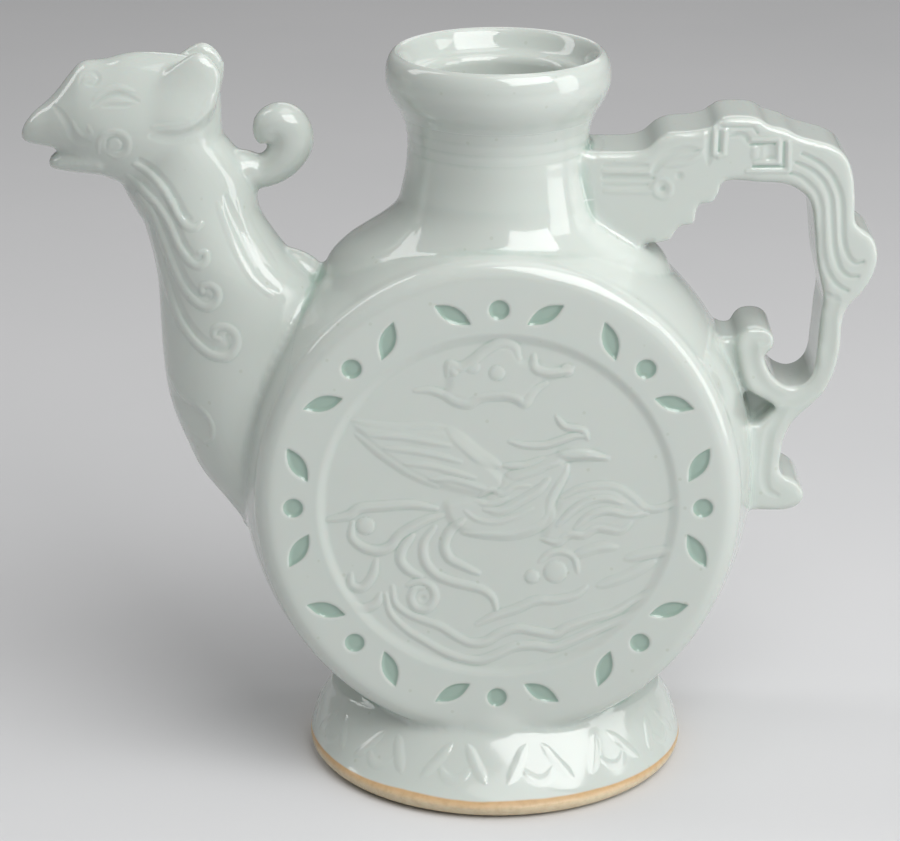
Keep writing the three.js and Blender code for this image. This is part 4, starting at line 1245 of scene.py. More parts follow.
# Places on the panel from its centre: a phoenix among clouds, over waves, with two flaming pearls.
PHOENIX = Relief(
    tall=0.46,
    broad=1.6,
    strokes=(
        *strokes(1.9, 0.75,  # cloud
            ((-22, 33.2), (-18.1, 33.3), (-14.8, 32.2), (-11.2, 30), (-7.7, 29.5), (-4.8, 31.2), (0.4, 31.7),
             (4.3, 31.1), (7, 29.5), (8.8, 32.1), (10.4, 33.9), (12.6, 35.3)),
            ((-13.6, 37.5), (-13, 40.7), (-10.2, 39.8), (-6.8, 41.7), (-3.6, 44.4), (0.3, 46.6), (4.1, 45.7),
             (5.5, 42.3)),
            ((9.2, 43.1), (9.7, 39.6), (13.5, 38.2), (18, 38.8), (19.4, 39.6)),
        ),
        *strokes(2.9, 0.85,  # wing
            ((-13.2, 22.4), (-8.9, 18.4), (-4.9, 14.8), (-0, 12.1)),
        ),
        *strokes(1.5, 0.5,  # wing edges
            ((-38.6, 24.9), (-32.8, 23.8), (-26.1, 23.3), (-19.5, 23.6), (-14, 23.1)),
            ((-37.8, 21), (-30.5, 14.4), (-23.2, 9.3), (-16.2, 6)),
            ((-33.4, 20.7), (-26.1, 20.3), (-19.5, 19.2), (-12.8, 17.8)),
            ((-30.1, 17.1), (-23.5, 16.5), (-16.2, 15.1), (-9.9, 13.2)),
            ((-24.8, 12.7), (-18.2, 12.1), (-11.5, 10.3), (-6.2, 8.6)),
            ((-18.2, 8.2), (-12.2, 8.2), (-6.2, 6.4), (-2.2, 5)),
        ),
        *strokes(2.3, 0.85,  # head and neck
            ((29.1, 14.1), (24.4, 15.1), (19.4, 15), (13.8, 13.2), (8.5, 11.1), (2.8, 9.3)),
        ),
        *strokes(1.5, 0.75,  # crest
            ((3, 18.9), (7.1, 17.8), (12.4, 17.8), (16.4, 19.1), (20.4, 20.5), (23.4, 20.3)),
            ((15.3, 26), (17.8, 23.1), (22.3, 22.2), (23.8, 19.6)),
            ((1.5, 12), (7.2, 12.1), (12.5, 14.1)),
        ),
        *strokes(1.9, 0.7,  # breast
            ((-9.2, -7.3), (-2.8, -8), (4.6, -8), (10.7, -5.8), (14, -2.4), (14.3, 2.1), (17.9, 9.3),
             (18.4, 12.1)),
            ((-3.5, -0.4), (0.9, -0.8), (5.9, 2), (10.6, 5), (13.5, 8.2)),
        ),
        *strokes(1.3, 0.45,  # scales
            ((-4.8, 3.5), (-2.2, 5.3), (1.2, 4.3), (4.5, 6.4), (8.5, 6.4)),
            ((-8.8, -0.8), (-5.5, -3.3), (-0.8, -4), (3.9, -2.9), (9.3, -0.1)),
            ((3.8, 8.4), (9.8, 10.3), (13.5, 12.1)),
            ((-6.2, 2.1), (-2.1, 1.2), (2.5, 2.8)),
        ),
        *strokes(1.6, 0.65,  # far wing
            ((17.3, 3.2), (21.9, 5.5), (27.2, 6.4), (31.6, 6), (35.5, 3.5), (40.1, -0.1), (44.1, -0.1),
             (48.7, 2.5)),
            ((11.7, -9.1), (16.1, -10.2), (19.1, -7.9), (23.1, -8), (26.8, -6), (32.8, -6.9), (35.8, -4.3)),
            ((16, -5.1), (20, -0.8), (24.6, 2.1), (29.3, 2.8), (33.4, 1.4)),
            ((20.7, -5.8), (24.7, -2.2), (29.4, -0.8), (34.8, -1.9), (40.1, -1.7)),
        ),
        *strokes(2.0, 0.85,  # plumes
            ((-16.5, -0.2), (-23.6, 0.9), (-30.8, 0.4), (-36.8, -0.2), (-40.2, -2.4), (-45.4, -3.5)),
            ((-39, -4.5), (-39.2, -8.6), (-36.4, -11.4), (-32.3, -12.5), (-28.7, -11.1), (-26, -7.7),
             (-19.6, -3.8), (-14.9, -2.2)),
            ((-16.9, -5.7), (-19.8, -10.2), (-19.6, -15.3), (-16.9, -19.1), (-12.8, -21.3), (-8.1, -22.6),
             (-3.9, -23.9), (-1.2, -26.4), (-0.2, -29.8)),
            ((-9.2, -3.5), (-12.7, -6.6), (-14.3, -10.8), (-13, -14.6), (-9.3, -16.9), (-5.1, -19.1)),
            ((-22.8, -8), (-25.5, -11.6), (-26.1, -15.4), (-23.8, -18.4), (-20.6, -20)),
        ),
        *strokes(1.8, 0.7,  # curls
            ((-20, -23.3), (-22.3, -23.7), (-23.4, -26.3), (-22, -29.2), (-18.8, -29.4), (-16.9, -26.3),
             (-17.9, -23), (-21, -21.5), (-24.3, -22.6)),
            ((-32.7, -15.3), (-33.7, -19.7), (-36.5, -23.3), (-39.4, -22.5), (-39.6, -19.3)),
            ((-40.8, -26.9), (-36.6, -29.4), (-32.8, -27.9), (-31.7, -25.2)),
        ),
        *strokes(1.9, 0.8,  # waves
            ((-28.4, -23), (-27.6, -27.8), (-24.3, -30.9), (-19.6, -33.1), (-15.6, -34.6), (-11.5, -37.4),
             (-7.4, -39.6), (-3.2, -39.3), (0.8, -36.8), (5.5, -35.3), (11, -36.3), (15.7, -37),
             (18.6, -35.2), (24.5, -32.9), (31.3, -30.7), (36.6, -27.2), (41, -24.4)),
            ((-30.3, -25.2), (-29, -30.7), (-25, -35.3), (-19.7, -39), (-14.9, -42), (-10.1, -44.1),
             (-4.7, -44.8), (0.1, -43), (4.9, -40.8), (10.3, -40.4), (15.2, -41.1), (19.8, -39.3),
             (25.2, -36.6), (31.3, -33.8), (36.7, -30.9), (41, -27.2)),
            ((-5.5, -34.1), (-0.6, -31.6), (4.8, -29.7), (10.2, -27.2), (15.6, -27), (21, -25.6),
             (24, -23.2)),
        ),
        *strokes(2.2, 0.7,  # ribbons
            ((20.9, -14), (24.9, -12.2), (28.2, -11.4), (31.9, -11.5)),
            ((34.7, -14.9), (38.5, -13.8), (43.2, -12.8), (46.8, -12.2)),
            ((27.4, -22.8), (33.1, -20.6), (37.8, -18.2), (42.1, -15.7)),
        ),
        *strokes(1.4, 0.6,  # pearl ring
            ((11.3, -15.7), (14, -13.3), (17.5, -12.8), (20.7, -14.6), (21.7, -18.9)),
        ),
    ),
    patches=(
        (0.85, ((-39.7, 24.5), (-32.8, 24.2), (-24.1, 23.6), (-14.2, 23.3), (-8.9, 18.9), (-3.5, 14.3),
              (1.8, 9.3), (1.9, 5), (-3.5, 2.8), (-10.2, 3.5), (-16.9, 5.7), (-23.2, 8.6), (-30.2, 13.5),
              (-36.1, 18.9))),
        (0.85, ((0.5, 9.3), (8.5, 12.1), (15.8, 15), (19.8, 12.1), (17.9, 6.4), (15, 0.7), (14, -3.7),
              (10, -7.3), (3.3, -8.9), (-3.4, -8.9), (-9.5, -8), (-14.2, -3.7), (-14.9, 2.1), (-8.8, 3.5),
              (-3.5, 3.5))),
        (0.8, ((15.8, 17.1), (20.4, 18.5), (24.4, 17.8), (29.8, 14.3), (24.5, 12.7), (19.1, 12.7),
              (15.1, 14.3))),
        (0.75, ((15.9, 2.8), (21.9, 5.8), (27.2, 6.8), (31.9, 6.3), (36, 3.2), (40.8, -0.4), (36.8, -5.1),
              (32.9, -7.4), (26.8, -6.6), (22.8, -8.6), (18.8, -8.9), (16.1, -10.8), (11.5, -9.5),
              (12.7, -3.7))),
        (0.7, ((-14.3, 36.8), (-13.5, 40.7), (-9.9, 40.7), (-6.3, 42.8), (-3, 45.2), (0.3, 46.9),
              (4.6, 46), (6.9, 42.4), (12.2, 41.7), (19.1, 40), (19.5, 37.5), (12.2, 35.1), (9, 31.2),
              (7, 29), (0.4, 30.9), (-4.9, 30.4), (-8.9, 29), (-14.8, 31.6), (-14.2, 34.7))),
    ),
    buttons=(
        (15.6, -18.7, 3.2, 0.8),
        (9.3, -20.1, 2.0, 0.8),
        (-35.5, -5.3, 2.5, 0.8),
        (-0.5, 38.2, 2.1, 0.6),
        (-12.1, 38.9, 1.6, 0.5),
        (-6.9, 40, 1.9, 0.5),
        (18, 38.9, 1.8, 0.6),
        (-20.3, -26.4, 1.1, -0.35),
    ),
)

# The bird's face, its four curled breast feathers, its mane and the lower edges of its ears.
PLUMAGE = Relief(
    strokes=(
        *strokes(1.6, -0.34, ((-107.5, 188.4), (-104.4, 190.5), (-101, 191.6), (-97.7, 191.1), (-95, 190.1))),
        *strokes(1.2, -0.25, ((-104.7, 188.6), (-101.7, 189), (-98.4, 189.1), (-95.9, 189.6))),
        *strokes(1.6, 0.3, ((-107, 190.3), (-103.8, 192.4), (-100.2, 193.3), (-96.4, 192.6))),
        *strokes(1.2, -0.28,
                 ((-110.9, 193.9), (-109.8, 195.8), (-107.3, 196.5), (-105.7, 195.3), (-107, 193.8),
                  (-109, 193.8))),
        *strokes(2.2, -0.28,
                 ((-118, 187.4), (-115.9, 185.7), (-114.2, 183.2), (-113.1, 180.2), (-111.3, 178.6),
                  (-108.4, 179))),
        *strokes(1.5, 0.25,
                 ((-113, 184.4), (-111.6, 181.9), (-109.7, 180.5), (-107.9, 181.6), (-108.6, 183.5))),
        *strokes(1.6, 0.3, ((-106.2, 175.9), (-105.5, 180), (-102.9, 182.2), (-99.6, 182.2), (-97.7, 180),
                            (-98.3, 176.8), (-101, 175), (-103.3, 175.9))),
        *strokes(1.2, -0.3, ((-103.9, 177.6), (-103.3, 180), (-101.2, 180.9), (-99.5, 179.6), (-99.8, 177.6),
                             (-101.6, 176.9))),
        *strokes(3.0, 0.3, ((-91, 183.6), (-86, 183.4), (-82.2, 184.1), (-79.2, 185.8), (-77.1, 188.2),
                            (-76, 191.4))),
        *strokes(3.6, -0.45, ((-91.5, 181.3), (-86, 181.1), (-81.6, 181.9), (-78, 183.8), (-75.6, 186.6))),
        *strokes(2.3, 0.6,
                 ((-96.5, 173.2), (-93.1, 171.1), (-89.8, 168), (-87.2, 164.2), (-85.3, 160.2),
                  (-83.2, 157.5), (-80.6, 156.9), (-79, 158)),
                 ((-98.7, 169.4), (-95.3, 166.6), (-91.3, 162.8), (-88, 158), (-85.5, 152.1),
                  (-82.8, 148.2), (-80, 146.8), (-77.8, 148.2), (-77.9, 150.4), (-79.5, 150.4)),
                 ((-96.2, 164.6), (-93.1, 160.8), (-90.8, 155), (-88.4, 148.8), (-85.7, 142.2),
                  (-82.3, 137.7), (-78.3, 135.6), (-75.3, 137.2), (-74.7, 139.9), (-76.4, 141.7),
                  (-78.9, 141.4), (-79.2, 139.5)),
                 ((-93.1, 156.1), (-91.1, 146.3), (-88.9, 138.3), (-86.2, 131.5), (-82, 126.2),
                  (-77.2, 122.9), (-72.5, 122.6), (-69.9, 125.7), (-70.3, 129.1), (-73, 130.8),
                  (-75.7, 130), (-76, 127.9), (-74.6, 127.3)),
                 taper=0.35),
        *strokes(2.4, -0.36, ((-95.2, 174.6), (-91.6, 171.9), (-88.3, 168.6), (-85.7, 164.6), (-83.7, 160.9),
                             (-82, 159.3)),
                 ((-94.2, 168), (-90, 164), (-86.6, 159), (-84, 153), (-81.6, 149.8)),
                 ((-91.5, 162), (-89.2, 156), (-86.8, 149.6), (-84.1, 143.4), (-80.9, 139.3), (-77.5, 138.4)),
                 ((-89.3, 147), (-87.2, 139), (-84.4, 132.4), (-80.5, 127.7), (-76.2, 125), (-72.6, 125.4),
                  (-72.6, 128.2)), taper=0.35),
        *strokes(1.7, 0.4, ((-89.9, 113.8), (-87.4, 110.8), (-85, 108.5), (-80.7, 107.2), (-77.5, 103.8),
                            (-77.3, 99.4), (-79.7, 97))),
        *strokes(6.0, -1.0, ((-87, 107.6), (-83, 105.4), (-80.6, 102), (-81.6, 98))),
        *strokes(2.6, -0.6, ((-72.7, 164.5), (-70.5, 157.9), (-67.3, 151), (-63.3, 144.4), (-58.5, 139.8))),
        *strokes(2.2, 0.35, ((-74.6, 162.9), (-72.5, 157.3), (-69.4, 150), (-65.4, 143.3), (-60.4, 138.2)),
                 ((-69.4, 163.1), (-66.4, 154.9), (-62.8, 148.8), (-59.6, 144.6))),
    ),
)

# The handle's sides: bands and an eye by the neck, the key-fret, the ribs, and channels along the scroll.
HANDLE_RELIEF = Relief(
    tall=0.55,
    broad=1.3,
    strokes=(
        *strokes(1.5, -0.3, ((28, 172.9), (39.5, 172.9)), ((28, 167.6), (39.5, 167.6)), taper=0.2),
        *strokes(1.9, -0.42, ((28, 169.6), (41, 169.5)), taper=0.2),
        *strokes(1.5, 0.25, ((28, 171.3), (40, 171.1)), ((28.5, 165.8), (41, 165.7)), taper=0.2),
        *strokes(2.4, -0.42,
                 ((41, 170.6), (42.4, 173.2), (44.7, 175.2), (47.5, 176.6), (50.2, 177.1), (52.8, 177))),
        *strokes(1.8, 0.32, ((44.2, 172.8), (47.4, 173.4), (50.5, 174.1), (52.9, 175.8), (54.4, 177.4))),
        *strokes(1.5, 0.3,
                 ((41.2, 166.5), (42.2, 168.6), (44.2, 169), (45.9, 167.4), (45.6, 165), (43.8, 164.1),
                  (42, 165), (41.4, 167)),
                 taper=0),
        *strokes(2.2, -0.5, ((55.7, 184.5), (55.7, 173)), taper=0.7, bend=1),
        *strokes(1.4, 0.45,
                 ((57.2, 183.4), (57, 176.1), (58.4, 175.4), (59.8, 176), (60, 182.4)),
                 taper=0.1, bend=1),
        *strokes(1.3, 0.42, ((67.2, 180), (74.2, 179.9), (74.3, 173.8), (68.1, 173.7)),
                 ((76.9, 179.2), (77.1, 171.4), (66, 171.3)), taper=0.1, bend=1),
        *strokes(2.0, 0.35, ((67.9, 177.3), (67.9, 175.5)), taper=0, bend=1),
        *strokes(1.1, -0.45,
                 ((58.5, 182.2), (58.4, 177)),
                 ((58.9, 183.4), (67.2, 183.3), (68.4, 181.8)),
                 ((66.6, 178.6), (73, 178.7)),
                 ((75.6, 179.2), (75.6, 172.6), (67.6, 172.6)),
                 taper=0.1, bend=1),
        *strokes(1.8, -0.5, ((61.2, 180.9), (63.3, 181.3), (65.2, 180.8), (66, 179))),
        *strokes(2.8, -0.5, ((71.9, 177.6), (71.9, 175.7)), taper=0, bend=1),
        *strokes(1.8, -0.6,
                 ((77.6, 170.7), (80, 169.8), (82, 168.3), (84.7, 165.2), (86, 161.2), (86.4, 156.6),
                  (86.8, 150.4), (87.7, 145.8), (89, 142.7), (90.5, 140.5), (92.3, 138.9), (94.2, 138)),
                 ((79, 173.6), (83, 171.6), (85.5, 169.5), (87, 167.4), (88.6, 163.4), (89.3, 156.6),
                  (90, 150.4), (90.9, 146.7), (92.2, 143.8), (94.4, 142.1), (96.8, 142)),
                 ((80.5, 176), (85, 173.6), (88, 170.8), (89.6, 168.3), (91.2, 164.3), (91.9, 158.2),
                  (92.2, 153.5), (92.9, 150.1), (94.2, 147.3), (96, 145.8), (98, 146.1)),
                 taper=0.3),
        *strokes(1.6, -0.45, ((88.4, 137.5), (90.3, 135.8), (92.3, 135))),
        *strokes(4.6, -0.85,
                 ((90.6, 135.2), (89.4, 131), (89.3, 126), (89, 119.5), (87.2, 113.2), (83.5, 108.6),
                  (78.5, 107.4), (74, 109.3), (70.6, 113.5), (68.5, 119), (68.3, 122.6), (69.8, 124.7),
                  (72, 124.4)),
                 taper=0.3),
        *strokes(2.6, -0.5, ((79.6, 106.4), (76.4, 101.2), (74.5, 97), (74, 91), (73.7, 85), (74.6, 80.6),
                             (77.5, 78.8))),
    ),
    buttons=((43.7, 166.5, 1.2, -0.5), (48.1, 170, 1.3, -0.4)),
)

# One petal of the foot: arc length and height from its middle, in millimetres.
PETAL = (
    ((-7.6, 8.6), (-5.2, 11.6), (-3.4, 14.2), (-2.3, 15.6)),
    ((2.3, 15.6), (3.4, 14.2), (5.2, 11.6), (7.6, 8.6)),
)
PETAL_SWAG = ((-3.9, 11), (-2.2, 9.2), (0, 8.5), (2.2, 9.2), (3.9, 11))


@dataclass
class Ewer:
    """Grows the clay forms together, carves them, and parts them along their joints, in millimetres.

    A range is a low and a high bound, with the width of a soft edge at each where it has them.
    """

    flask: Flask = field(default_factory=Flask)
    bird: Bird = field(default_factory=Bird)
    handle: Handle = field(default_factory=Handle)
    foot: Foot = field(default_factory=Foot)
    mouth: Mouth = field(default_factory=Mouth)
    cuts: RingCuts = field(default_factory=RingCuts)
    panel: Panel = field(default_factory=Panel)
    grain: float = 0.75
    softening: int = 8
    ease_steps: int = 8
    ease_rounds: int = 28
    slip_half: float = 27
    slip_edge: float = 9
    slip_out: float = 28
    slip_range: Row = (12, 31, 4, 4)
    ear_high: Row = (176, 197, 5, 5)
    ear_long: Row = (-97, -70, 5, 4)
    corner_full: float = 0.3
    corner_fine: float = 0.25
    rim_share: float = 1.8
    comb_long: Row = (42, 60)
    comb_high: Row = (149, 168.5)
    handle_low: float = 70
    handle_near: float = 24
    neck_out: float = 26
    flask_out: float = 72.5
    fine_face: Row = (33.5, 61.5)
    fine_bracket: Row = (26, 146)
    fine_handle: Row = (60, 66)
    fine_foot: Row = (6, 20.5)
    foot_inner: float = 36
    carved_face: Row = (34.2, 62)
    carved_bird: Row = (-50, 90)
    carved_handle: Row = (24, 66, 7)
    carved_foot: Row = (7, 18)
    cut_pool: float = 2.5
    facing_from: float = 0.1
    facing_span: float = 0.4
    facing_least: float = 0.05
    thinnest: float = -1.5
    deepest: float = 1.2
    cut_share: float = 1.1
    seat: float = 33.25
    clear: float = 50
    left: float = -150
    wide: float = 90
    deep: float = 60
    low: float = -5
    high: float = 230
    right: float = 120
    foot_clear: float = 70
    foot_top: float = 19.9
    jaw_root: float = -114.2
    jaw_foot: float = 160
    jaw_top: float = 172.4
    ear_foot: float = 185.3
    ear_span: Row = (-92, -70)
    curl_deep: float = 30
    piece_deep: float = 40
    bracket_end: float = 58
    bracket_foot: float = 136
    bracket_top: float = 200
    tail_low: float = 40
    tail_top: float = 104.5
    strap_side: Path = ((58, 191), (58, 135), (84, 135), (84, 128.6), (114, 128.6), (114, 191))
    bird_side: Path = ((-140, -10), (-86.8, -10), (-34, 215), (-140, 215))
    handle_side: Path = (
        (24.0, 189), (24.6, 175), (26.0, 164), (28.5, 158.2), (32.5, 154.2), (37, 151), (44, 146.5),
        (58, 138), (58.5, 131), (62.8, 122), (66.5, 112.5), (69.4, 104.5), (71.2, 95), (71.9, 84.6),
        (71.3, 74), (70, 60), (112, 60), (112, 189))
    plume_side: Path = ((-70.6, 190), (-70.6, 171.5), (-65.6, 164.4), (-44, 164.4), (-44, 190))
    nape_side: Path = (
        (-60, 149.5), (-57, 146), (-48.8, 138.3), (-47.6, 138.3), (-46.2, 143.5), (-42.5, 149.5))

    def skin(self) -> bpy.types.Object:
        """Grows every luted form together under one soft skin.

        Returns:
            The closed solid.
        """
        clay = self.flask.clay() + self.bird.clay() + self.handle.clay()
        clay += [self.foot.outside(), self.foot.fillet(Side.FRONT), self.foot.fillet(Side.BACK)]
        hold(*clay)
        bpy.ops.object.join()
        obj = bpy.context.object
        obj.name = obj.data.name = "skin"
        modify(obj, "REMESH", mode="VOXEL", voxel_size=self.grain * MM)
        combine(obj, self.bird.channel(), "DIFFERENCE")
        modify(obj, "SMOOTH", factor=0.5, iterations=self.softening)
        self.ease_joins(obj)
        return obj

    def ease_joins(self, obj: bpy.types.Object) -> None:
        """Smooths the slip in the inner corners where pieces are luted together.

        Args:
            obj: The skin.
        """
        x, y, z = (points_of(obj) / MM).T
        foot = eased((self.slip_half - np.abs(x)) / self.slip_edge) * span(z, *self.slip_range)
        foot *= np.abs(y) > self.slip_out
        ears = span(z, *self.ear_high) * span(x, *self.ear_long)
        under = self.hollowness(obj, 24) / self.corner_full
        finer = (x > self.comb_long[0]) | (z > self.ear_high[0])
        corners = np.clip(under, 0, 1) * np.where(finer, self.corner_fine, 1)
        comb = between(x, self.comb_long) & between(z, self.comb_high)
        off_flask = np.hypot(x, z - self.flask.centre) > self.flask_out
        off_neck = (np.hypot(x, y) > self.neck_out) & (x > self.handle_near)
        handle = off_neck & (z > self.handle_low) & off_flask
        rims = np.clip(-self.rim_share * under, 0, 1) * handle * ~comb
        steps = np.ceil(np.max([foot, ears, corners, rims], axis=0) * self.ease_steps)
        group = obj.vertex_groups.new(name="ease")
        for step in range(1, self.ease_steps + 1):
            group.add(np.flatnonzero(steps == step).tolist(), step / self.ease_steps, "REPLACE")
        modify(obj, "SMOOTH", factor=0.5, iterations=self.ease_rounds, vertex_group="ease")
        obj.vertex_groups.clear()

    def hollowness(self, obj: bpy.types.Object, reach: int) -> np.ndarray:
        """Measures how deep each point lies in a hollow.

        Args:
            obj: The skin or a piece.
            reach: How many times the surface is smoothed for comparison.

        Returns:
            How far each point is under the smoothed surface, in millimetres.
        """
        soft = twin(obj, "soft")
        modify(soft, "SMOOTH", factor=0.5, iterations=reach)
        rise = ((points_of(soft) - points_of(obj)) * normals_of(obj)).sum(1) / MM
        discard(soft)
        return rise

    def refine(self, obj: bpy.types.Object) -> None:
        """Gives four times the faces to what is carved finely.

        Args:
            obj: The skin.
        """
        centres = np.empty(len(obj.data.polygons) * 3)
        obj.data.polygons.foreach_get("center", centres)
        x, y, z = (centres.reshape(-1, 3) / MM).T
        outward = np.hypot(x, (z - self.flask.centre) / TALLER)
        out, wide = self.fine_face
        panel = (np.abs(y) > out) & (outward < wide)
        _, (foot_x, foot_z), (top_x, top_z), _ = self.bird_side
        left = x < top_x - (top_z - z) * (top_x - foot_x) / (top_z - foot_z)
        right = np.zeros(len(x), bool)
        for near_x, low_z in (self.fine_bracket, self.fine_handle):
            right |= (x > near_x) & (z > low_z)
        foot = between(z, self.fine_foot) & (np.hypot(x, y) > self.foot_inner)
        hold(obj)
        bpy.ops.object.mode_set(mode="EDIT")
        bpy.ops.mesh.select_mode(type="FACE")
        bpy.ops.mesh.select_all(action="DESELECT")
        bpy.ops.object.mode_set(mode="OBJECT")
        obj.data.polygons.foreach_set("select", panel | left | right | foot)
        bpy.ops.object.mode_set(mode="EDIT")
        bpy.ops.mesh.subdivide(number_cuts=1)
        bpy.ops.object.mode_set(mode="OBJECT")

    def carve(self, obj: bpy.types.Object) -> np.ndarray:
        """Cuts the ring, the panels and every stroke into the skin.

        Args:
            obj: The skin.

        Returns:
            How much glaze lies in the cuts at each point, from 0 to 1.
        """
        points, normals = points_of(obj) / MM, normals_of(obj)
        x, y, z = points.T
        filled = np.zeros(len(points))
        centre = self.flask.centre
        out, wide = self.carved_face
        face = np.flatnonzero((np.abs(y) > out) & (np.hypot(x, z - centre) < wide))
        away = np.sign(y[face])
        cuts = self.cuts.depth_at(x[face], z[face] - centre)
        sunk = cuts + self.panel.depth_at(-away * x[face], z[face] - centre)
        points[face, 1] -= away * sunk
        filled[face] = np.clip(self.cut_pool * cuts / self.cuts.depth, 0, 1)
        facing = eased((np.abs(normals[:, 1]) - self.facing_from) / self.facing_span)
        right, low = self.carved_bird
        bird = np.flatnonzero((x < right) & (z > low))
        left, low, out = self.carved_handle
        handle = (x > left) & (z > low) & (np.abs(y) > out)
        handle = np.flatnonzero(handle & (facing > self.facing_least))
        for chosen, relief in ((bird, PLUMAGE), (handle, HANDLE_RELIEF)):
            rise = relief.rise_at(x[chosen], z[chosen]) * facing[chosen]
            points[chosen] += normals[chosen] * rise[:, None]
        foot = np.flatnonzero(between(z, self.carved_foot) & (np.hypot(x, y) > self.foot_inner))
        points[foot] += normals[foot] * self.foot.rise_at(points[foot])[:, None]
        points -= normals * self.flask.turned_depth(points)[:, None]
        move_points(obj, points * MM)
        return filled

    def pools(self, obj: bpy.types.Object, filled: object = 0, reach: int = 14, full: float = 0.16) -> None:
        """Records where glaze pools in hollows and runs thin over edges, as the attribute pool.

        Args:
            obj: The piece.
            filled: How much glaze its cuts hold besides, from 0 to 1.
            reach: How widely the surface is smoothed to find its hollows.
            full: The hollow's depth in millimetres that counts as 1.
        """
        pooled = np.clip(self.hollowness(obj, reach) / full, self.thinnest, self.deepest)
        store(obj, pooled + self.cut_share * np.asarray(filled))

    def part(self, obj: bpy.types.Object, name: str, knife: bpy.types.Object) -> bpy.types.Object:
        """Parts a piece from the skin with a closed knife.

        Args:
            obj: What is cut, which loses the piece.
            name: The piece's name.
            knife: A closed solid round the piece, which is used up.

        Returns:
            The piece.
        """
        piece = twin(obj, name)
        combine(piece, knife, "INTERSECT", spent=False)
        combine(obj, knife, "DIFFERENCE")
        return piece

    def pieces(self) -> dict[str, bpy.types.Object]:
        """Builds every piece.

        Returns:
            The pieces by the name of the node that each one replaces.
        """
        skin = self.skin()
        LOG.info("skin grown: %d faces", len(skin.data.polygons))
        self.refine(skin)
        self.pools(skin, self.carve(skin))
        LOG.info("skin carved: %d faces", len(skin.data.polygons))
        out = {"foot_ring": self.foot_piece(skin)}
        out |= self.bird_pieces(self.part(skin, "bird", cutter(self.bird_side, self.deep)))
        out |= self.handle_pieces(self.part(skin, "handle", cutter(self.handle_side, self.piece_deep)))
        out |= self.flask_pieces(skin)
        out["mouth_rim"] = self.mouth.collar()
        self.pools(out["mouth_rim"], reach=2, full=0.3)
        return out

    def foot_piece(self, skin: bpy.types.Object) -> bpy.types.Object:
        """Parts the foot from the skin round the flask's bowl, and hollows it.

        Args:
            skin: The skin, which loses the foot.

        Returns:
            The foot.
        """
        out = self.foot_clear
        knife = block((-out, -out, self.low), (out, out, self.foot_top))
        combine(knife, self.flask.drum(), "DIFFERENCE")
        foot = self.part(skin, "foot_ring", knife)
        combine(foot, self.foot.hollow(), "DIFFERENCE")
        return foot

    def bird_pieces(self, bird: bpy.types.Object) -> dict[str, bpy.types.Object]:
        """Parts the bird into the halves of its neck, its head, beak, ears, plume and nape.

        Args:
            bird: The bird, which ends as the back half of its neck.

        Returns:
            The pieces by their nodes' names.
        """
        deep = self.deep
        out = {
            "crest_plume": self.part(bird, "plume", cutter(self.plume_side, self.curl_deep)),
            "nape_curl": self.part(bird, "nape", cutter(self.nape_side, self.curl_deep)),
            "lower_beak": self.part(bird, "jaw", block(
                (self.left, -deep, self.jaw_foot), (self.jaw_root, deep, self.jaw_top))),
            "bird_head": self.part(bird, "head", block(
                (self.left, -deep, self.bird.head_low), (0, deep, self.high))),
        }
        left, right = self.ear_span
        for side, name in ((Side.FRONT, "near_ear"), (Side.BACK, "far_ear")):
            low, high = sorted((0, side.value * self.piece_deep))
            knife = block((left, low, self.ear_foot), (right, high, self.high))
            out[name] = self.part(out["bird_head"], name, knife)
        out["spout_front_half"] = self.part(bird, "spout", block((self.left, -deep, 0), (0, 0, self.high)))
        out["spout_back_half"] = bird
        return out

    def handle_pieces(self, handle: bpy.types.Object) -> dict[str, bpy.types.Object]:
        """Parts the handle into bracket, strap, scroll and tail.

        Args:
            handle: The handle, which ends as the scroll.

        Returns:
            The pieces by their nodes' names.
        """
        deep = self.piece_deep
        bracket = block((0, -deep, self.bracket_foot), (self.bracket_end, deep, self.bracket_top))
        tail = block((0, -deep, self.tail_low), (self.right, deep, self.tail_top))
        return {
            "handle_bracket": self.part(handle, "bracket", bracket),
            "handle_strap": self.part(handle, "strap", cutter(self.strap_side, deep)),
            "handle_tail": self.part(handle, "tail", tail),
            "handle_scroll": handle,
        }

    def flask_pieces(self, skin: bpy.types.Object) -> dict[str, bpy.types.Object]:
        """Parts the neck, the panels and the halves of the flask, and hollows them.

        Args:
            skin: What is left of the skin, which ends as the back half of the flask.

        Returns:
            The pieces by their nodes' names.
        """
        deep, wide, above = self.deep, self.wide, self.flask.above
        hollow = self.flask.hollow()
        neck = self.part(skin, "neck", block((-deep, -deep, self.flask.neck_low), (deep, deep, above)))
        combine(neck, block((-deep, -deep, self.mouth.foot), (deep, deep, above)), "DIFFERENCE")
        out = {"neck": neck}
        for side, name in ((Side.FRONT, "front_medallion"), (Side.BACK, "back_medallion")):
            out[name] = self.part(skin, name, self.disc(side))
        for piece in (neck, skin):
            combine(piece, hollow, "DIFFERENCE", spent=piece is skin)
        front = block((-wide, -deep, self.low), (wide, 0, self.high))
        out["front_shell"] = self.part(skin, "front_shell", front)
        out["back_shell"] = skin
        return out

    def disc(self, side: Side) -> bpy.types.Object:
        """Makes the round knife that parts a relief panel from its seat.

        Args:
            side: Which face the panel is on.

        Returns:
            The closed solid.
        """
        face, seat = side.value * self.clear * MM, side.value * self.seat * MM
        deselect()
        bpy.ops.mesh.primitive_cylinder_add(
            vertices=192, radius=self.flask.panel * MM, depth=abs(face - seat),
            location=(0, (face + seat) / 2, self.flask.centre * MM), rotation=(math.pi / 2, 0, 0))
        obj = bpy.context.object
        obj.scale = (1, TALLER, 1)
        bpy.ops.object.transform_apply(location=True, rotation=True, scale=True)
        return obj


